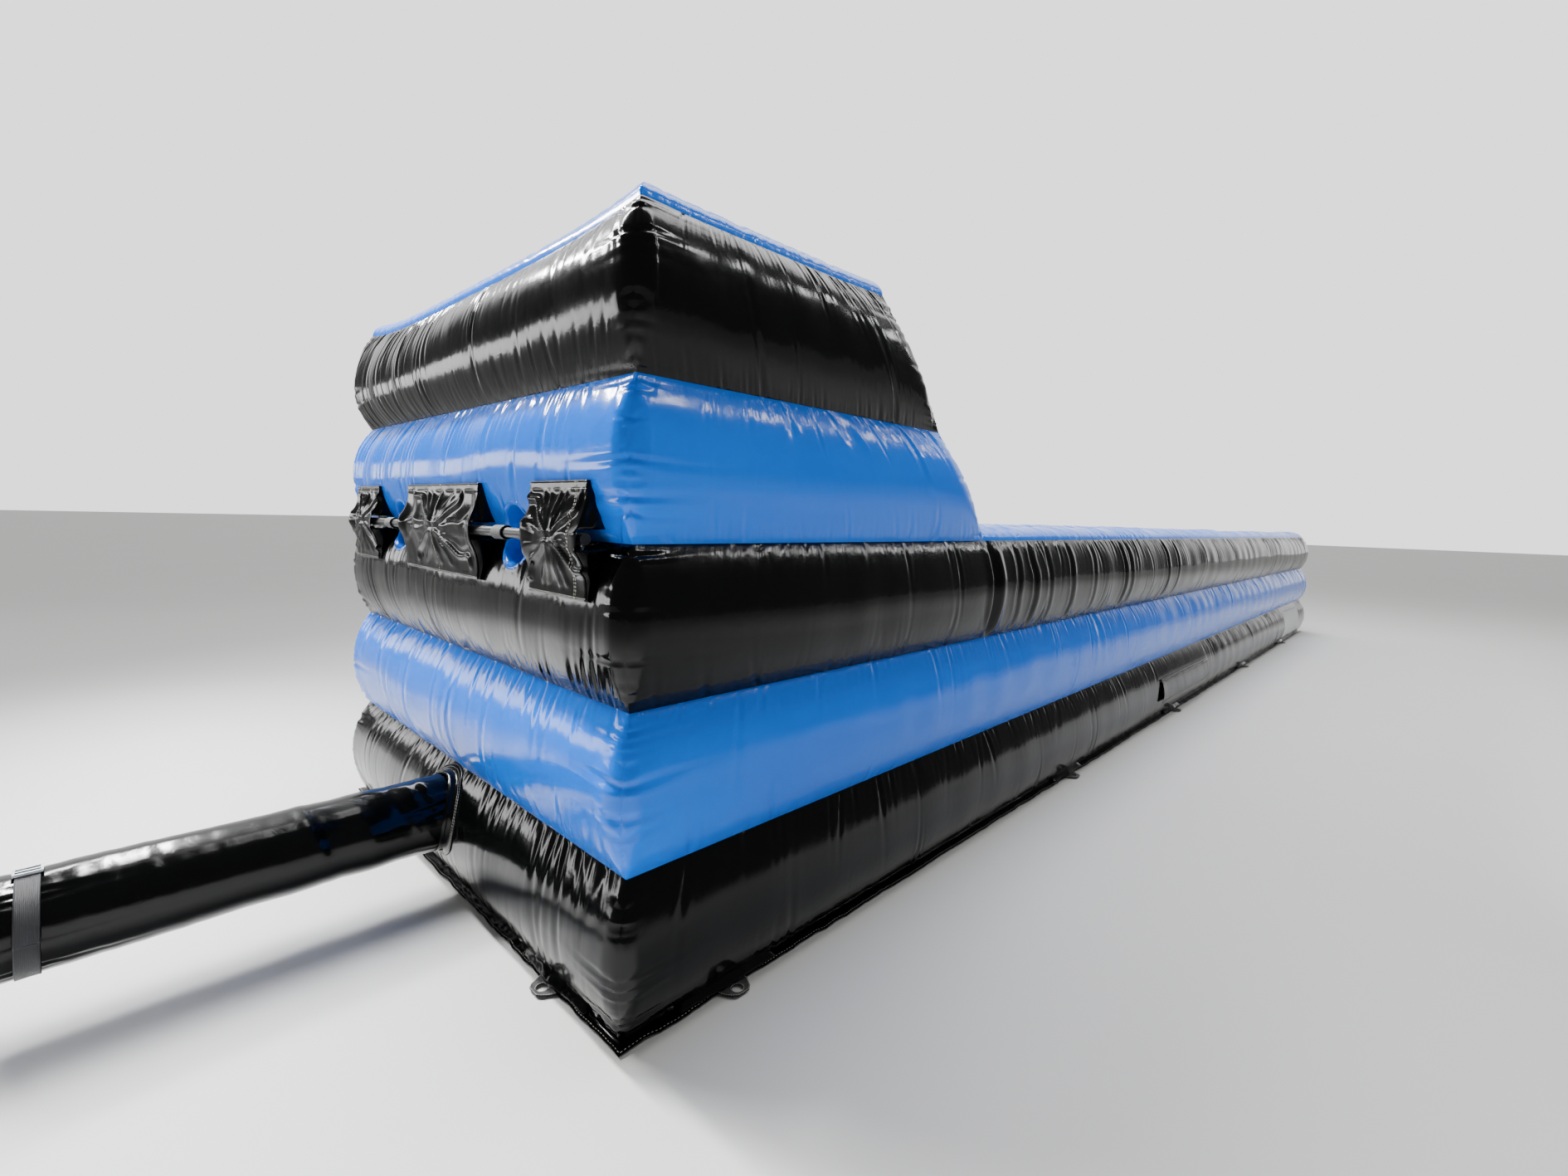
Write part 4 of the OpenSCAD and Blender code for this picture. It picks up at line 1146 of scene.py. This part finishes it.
world = bpy.data.worlds.new("studio")
bpy.context.scene.world = world
world.use_nodes = True
hall = world.node_tree
ray = addNode(hall, "ShaderNodeTexCoord")
level = addNode(hall, "ShaderNodeVectorMath", {"operation": "MULTIPLY", 1: (1.0, 1.0, 0.0)},
                {0: ray.outputs["Generated"]})
heading = addNode(hall, "ShaderNodeVectorMath", {"operation": "NORMALIZE"}, {0: level.outputs["Vector"]})
facing = addNode(hall, "ShaderNodeVectorMath", {"operation": "DOT_PRODUCT", 1: (-0.695, 0.719, 0.0)},
                 {0: heading.outputs["Vector"]})
ramp = addNode(hall, "ShaderNodeMapRange", {"interpolation_type": "SMOOTHSTEP", "From Min": 0.5,
                                            "From Max": 0.66,
                                            "To Min": studioLook["hallStrength"], "To Max": studioLook["wallStrength"]},
               {"Value": facing.outputs["Value"]})
hall.nodes["Background"].inputs["Color"].default_value = linearColour(studioLook["wallColour"])
hall.links.new(ramp.outputs["Result"], hall.nodes["Background"].inputs["Strength"])


def softLight(name, place, aim, size, power, spread=180):
    data = bpy.data.lights.new(name, "AREA")
    data.shape = "RECTANGLE"
    data.size, data.size_y = size
    data.energy = power
    data.spread = math.radians(spread)
    lamp = bpy.data.objects.new(name, data)
    bpy.context.scene.collection.objects.link(lamp)
    lamp.location = place
    lamp.rotation_mode = "QUATERNION"
    lamp.rotation_quaternion = (Vector(aim) - Vector(place)).to_track_quat("-Z", "Y")
    return lamp


# one row of ceiling fittings along the right side
for number, y in enumerate((-3.4, -1.2, 1.0, 3.4, 6.0, 9.0)):
    softLight("fittingSide" + str(number), (4.7, y, 7.6), (1.2, y - 2.0, 1.0), (0.4, 0.9), 40)
softLight("fittingOver", (-3.3, -6.6, 5.7), (0.0, -6.8, 0.44), (0.35, 5.5), 150, 50)
softLight("tubeRowBack", (-8.6, -9.2, 8.6), (-0.3, -5.9, 1.4), (5.0, 0.7), 200, 60)
softLight("windowRowBack", (-11.0, -14.0, 2.6), (-0.3, -5.9, 1.6), (10.0, 1.7), 60, 60)
softLight("ceilingOver", (0.6, 1.0, 9.0), (0.6, 0.5, 0.5), (4.0, 13.0), 470, 120)

cameraFit = {
    "place": (2.8103, -6.9678, 1.5),
    "right": (0.71715921, 0.69628577, 0.02947531),
    "up": (-0.04717773, 0.00630781, 0.99886659),
    "look": (-0.69531068, 0.71773695, -0.03737289),
    "lens": 15.79295238,           # millimetres, on a sensor 36 mm wide
    "shiftY": -0.02941798942,
}
lens = bpy.data.cameras.new("viewCamera")
lens.sensor_width = 36.0
lens.lens = cameraFit["lens"]
lens.shift_y = cameraFit["shiftY"]
lens.clip_start, lens.clip_end = 0.05, 200.0
camera = bpy.data.objects.new("viewCamera", lens)
bpy.context.scene.collection.objects.link(camera)
turn = Matrix((cameraFit["right"], cameraFit["up"], [-c for c in cameraFit["look"]])).transposed()
camera.matrix_world = Matrix.Translation(cameraFit["place"]) @ turn.to_4x4()
bpy.context.scene.camera = camera
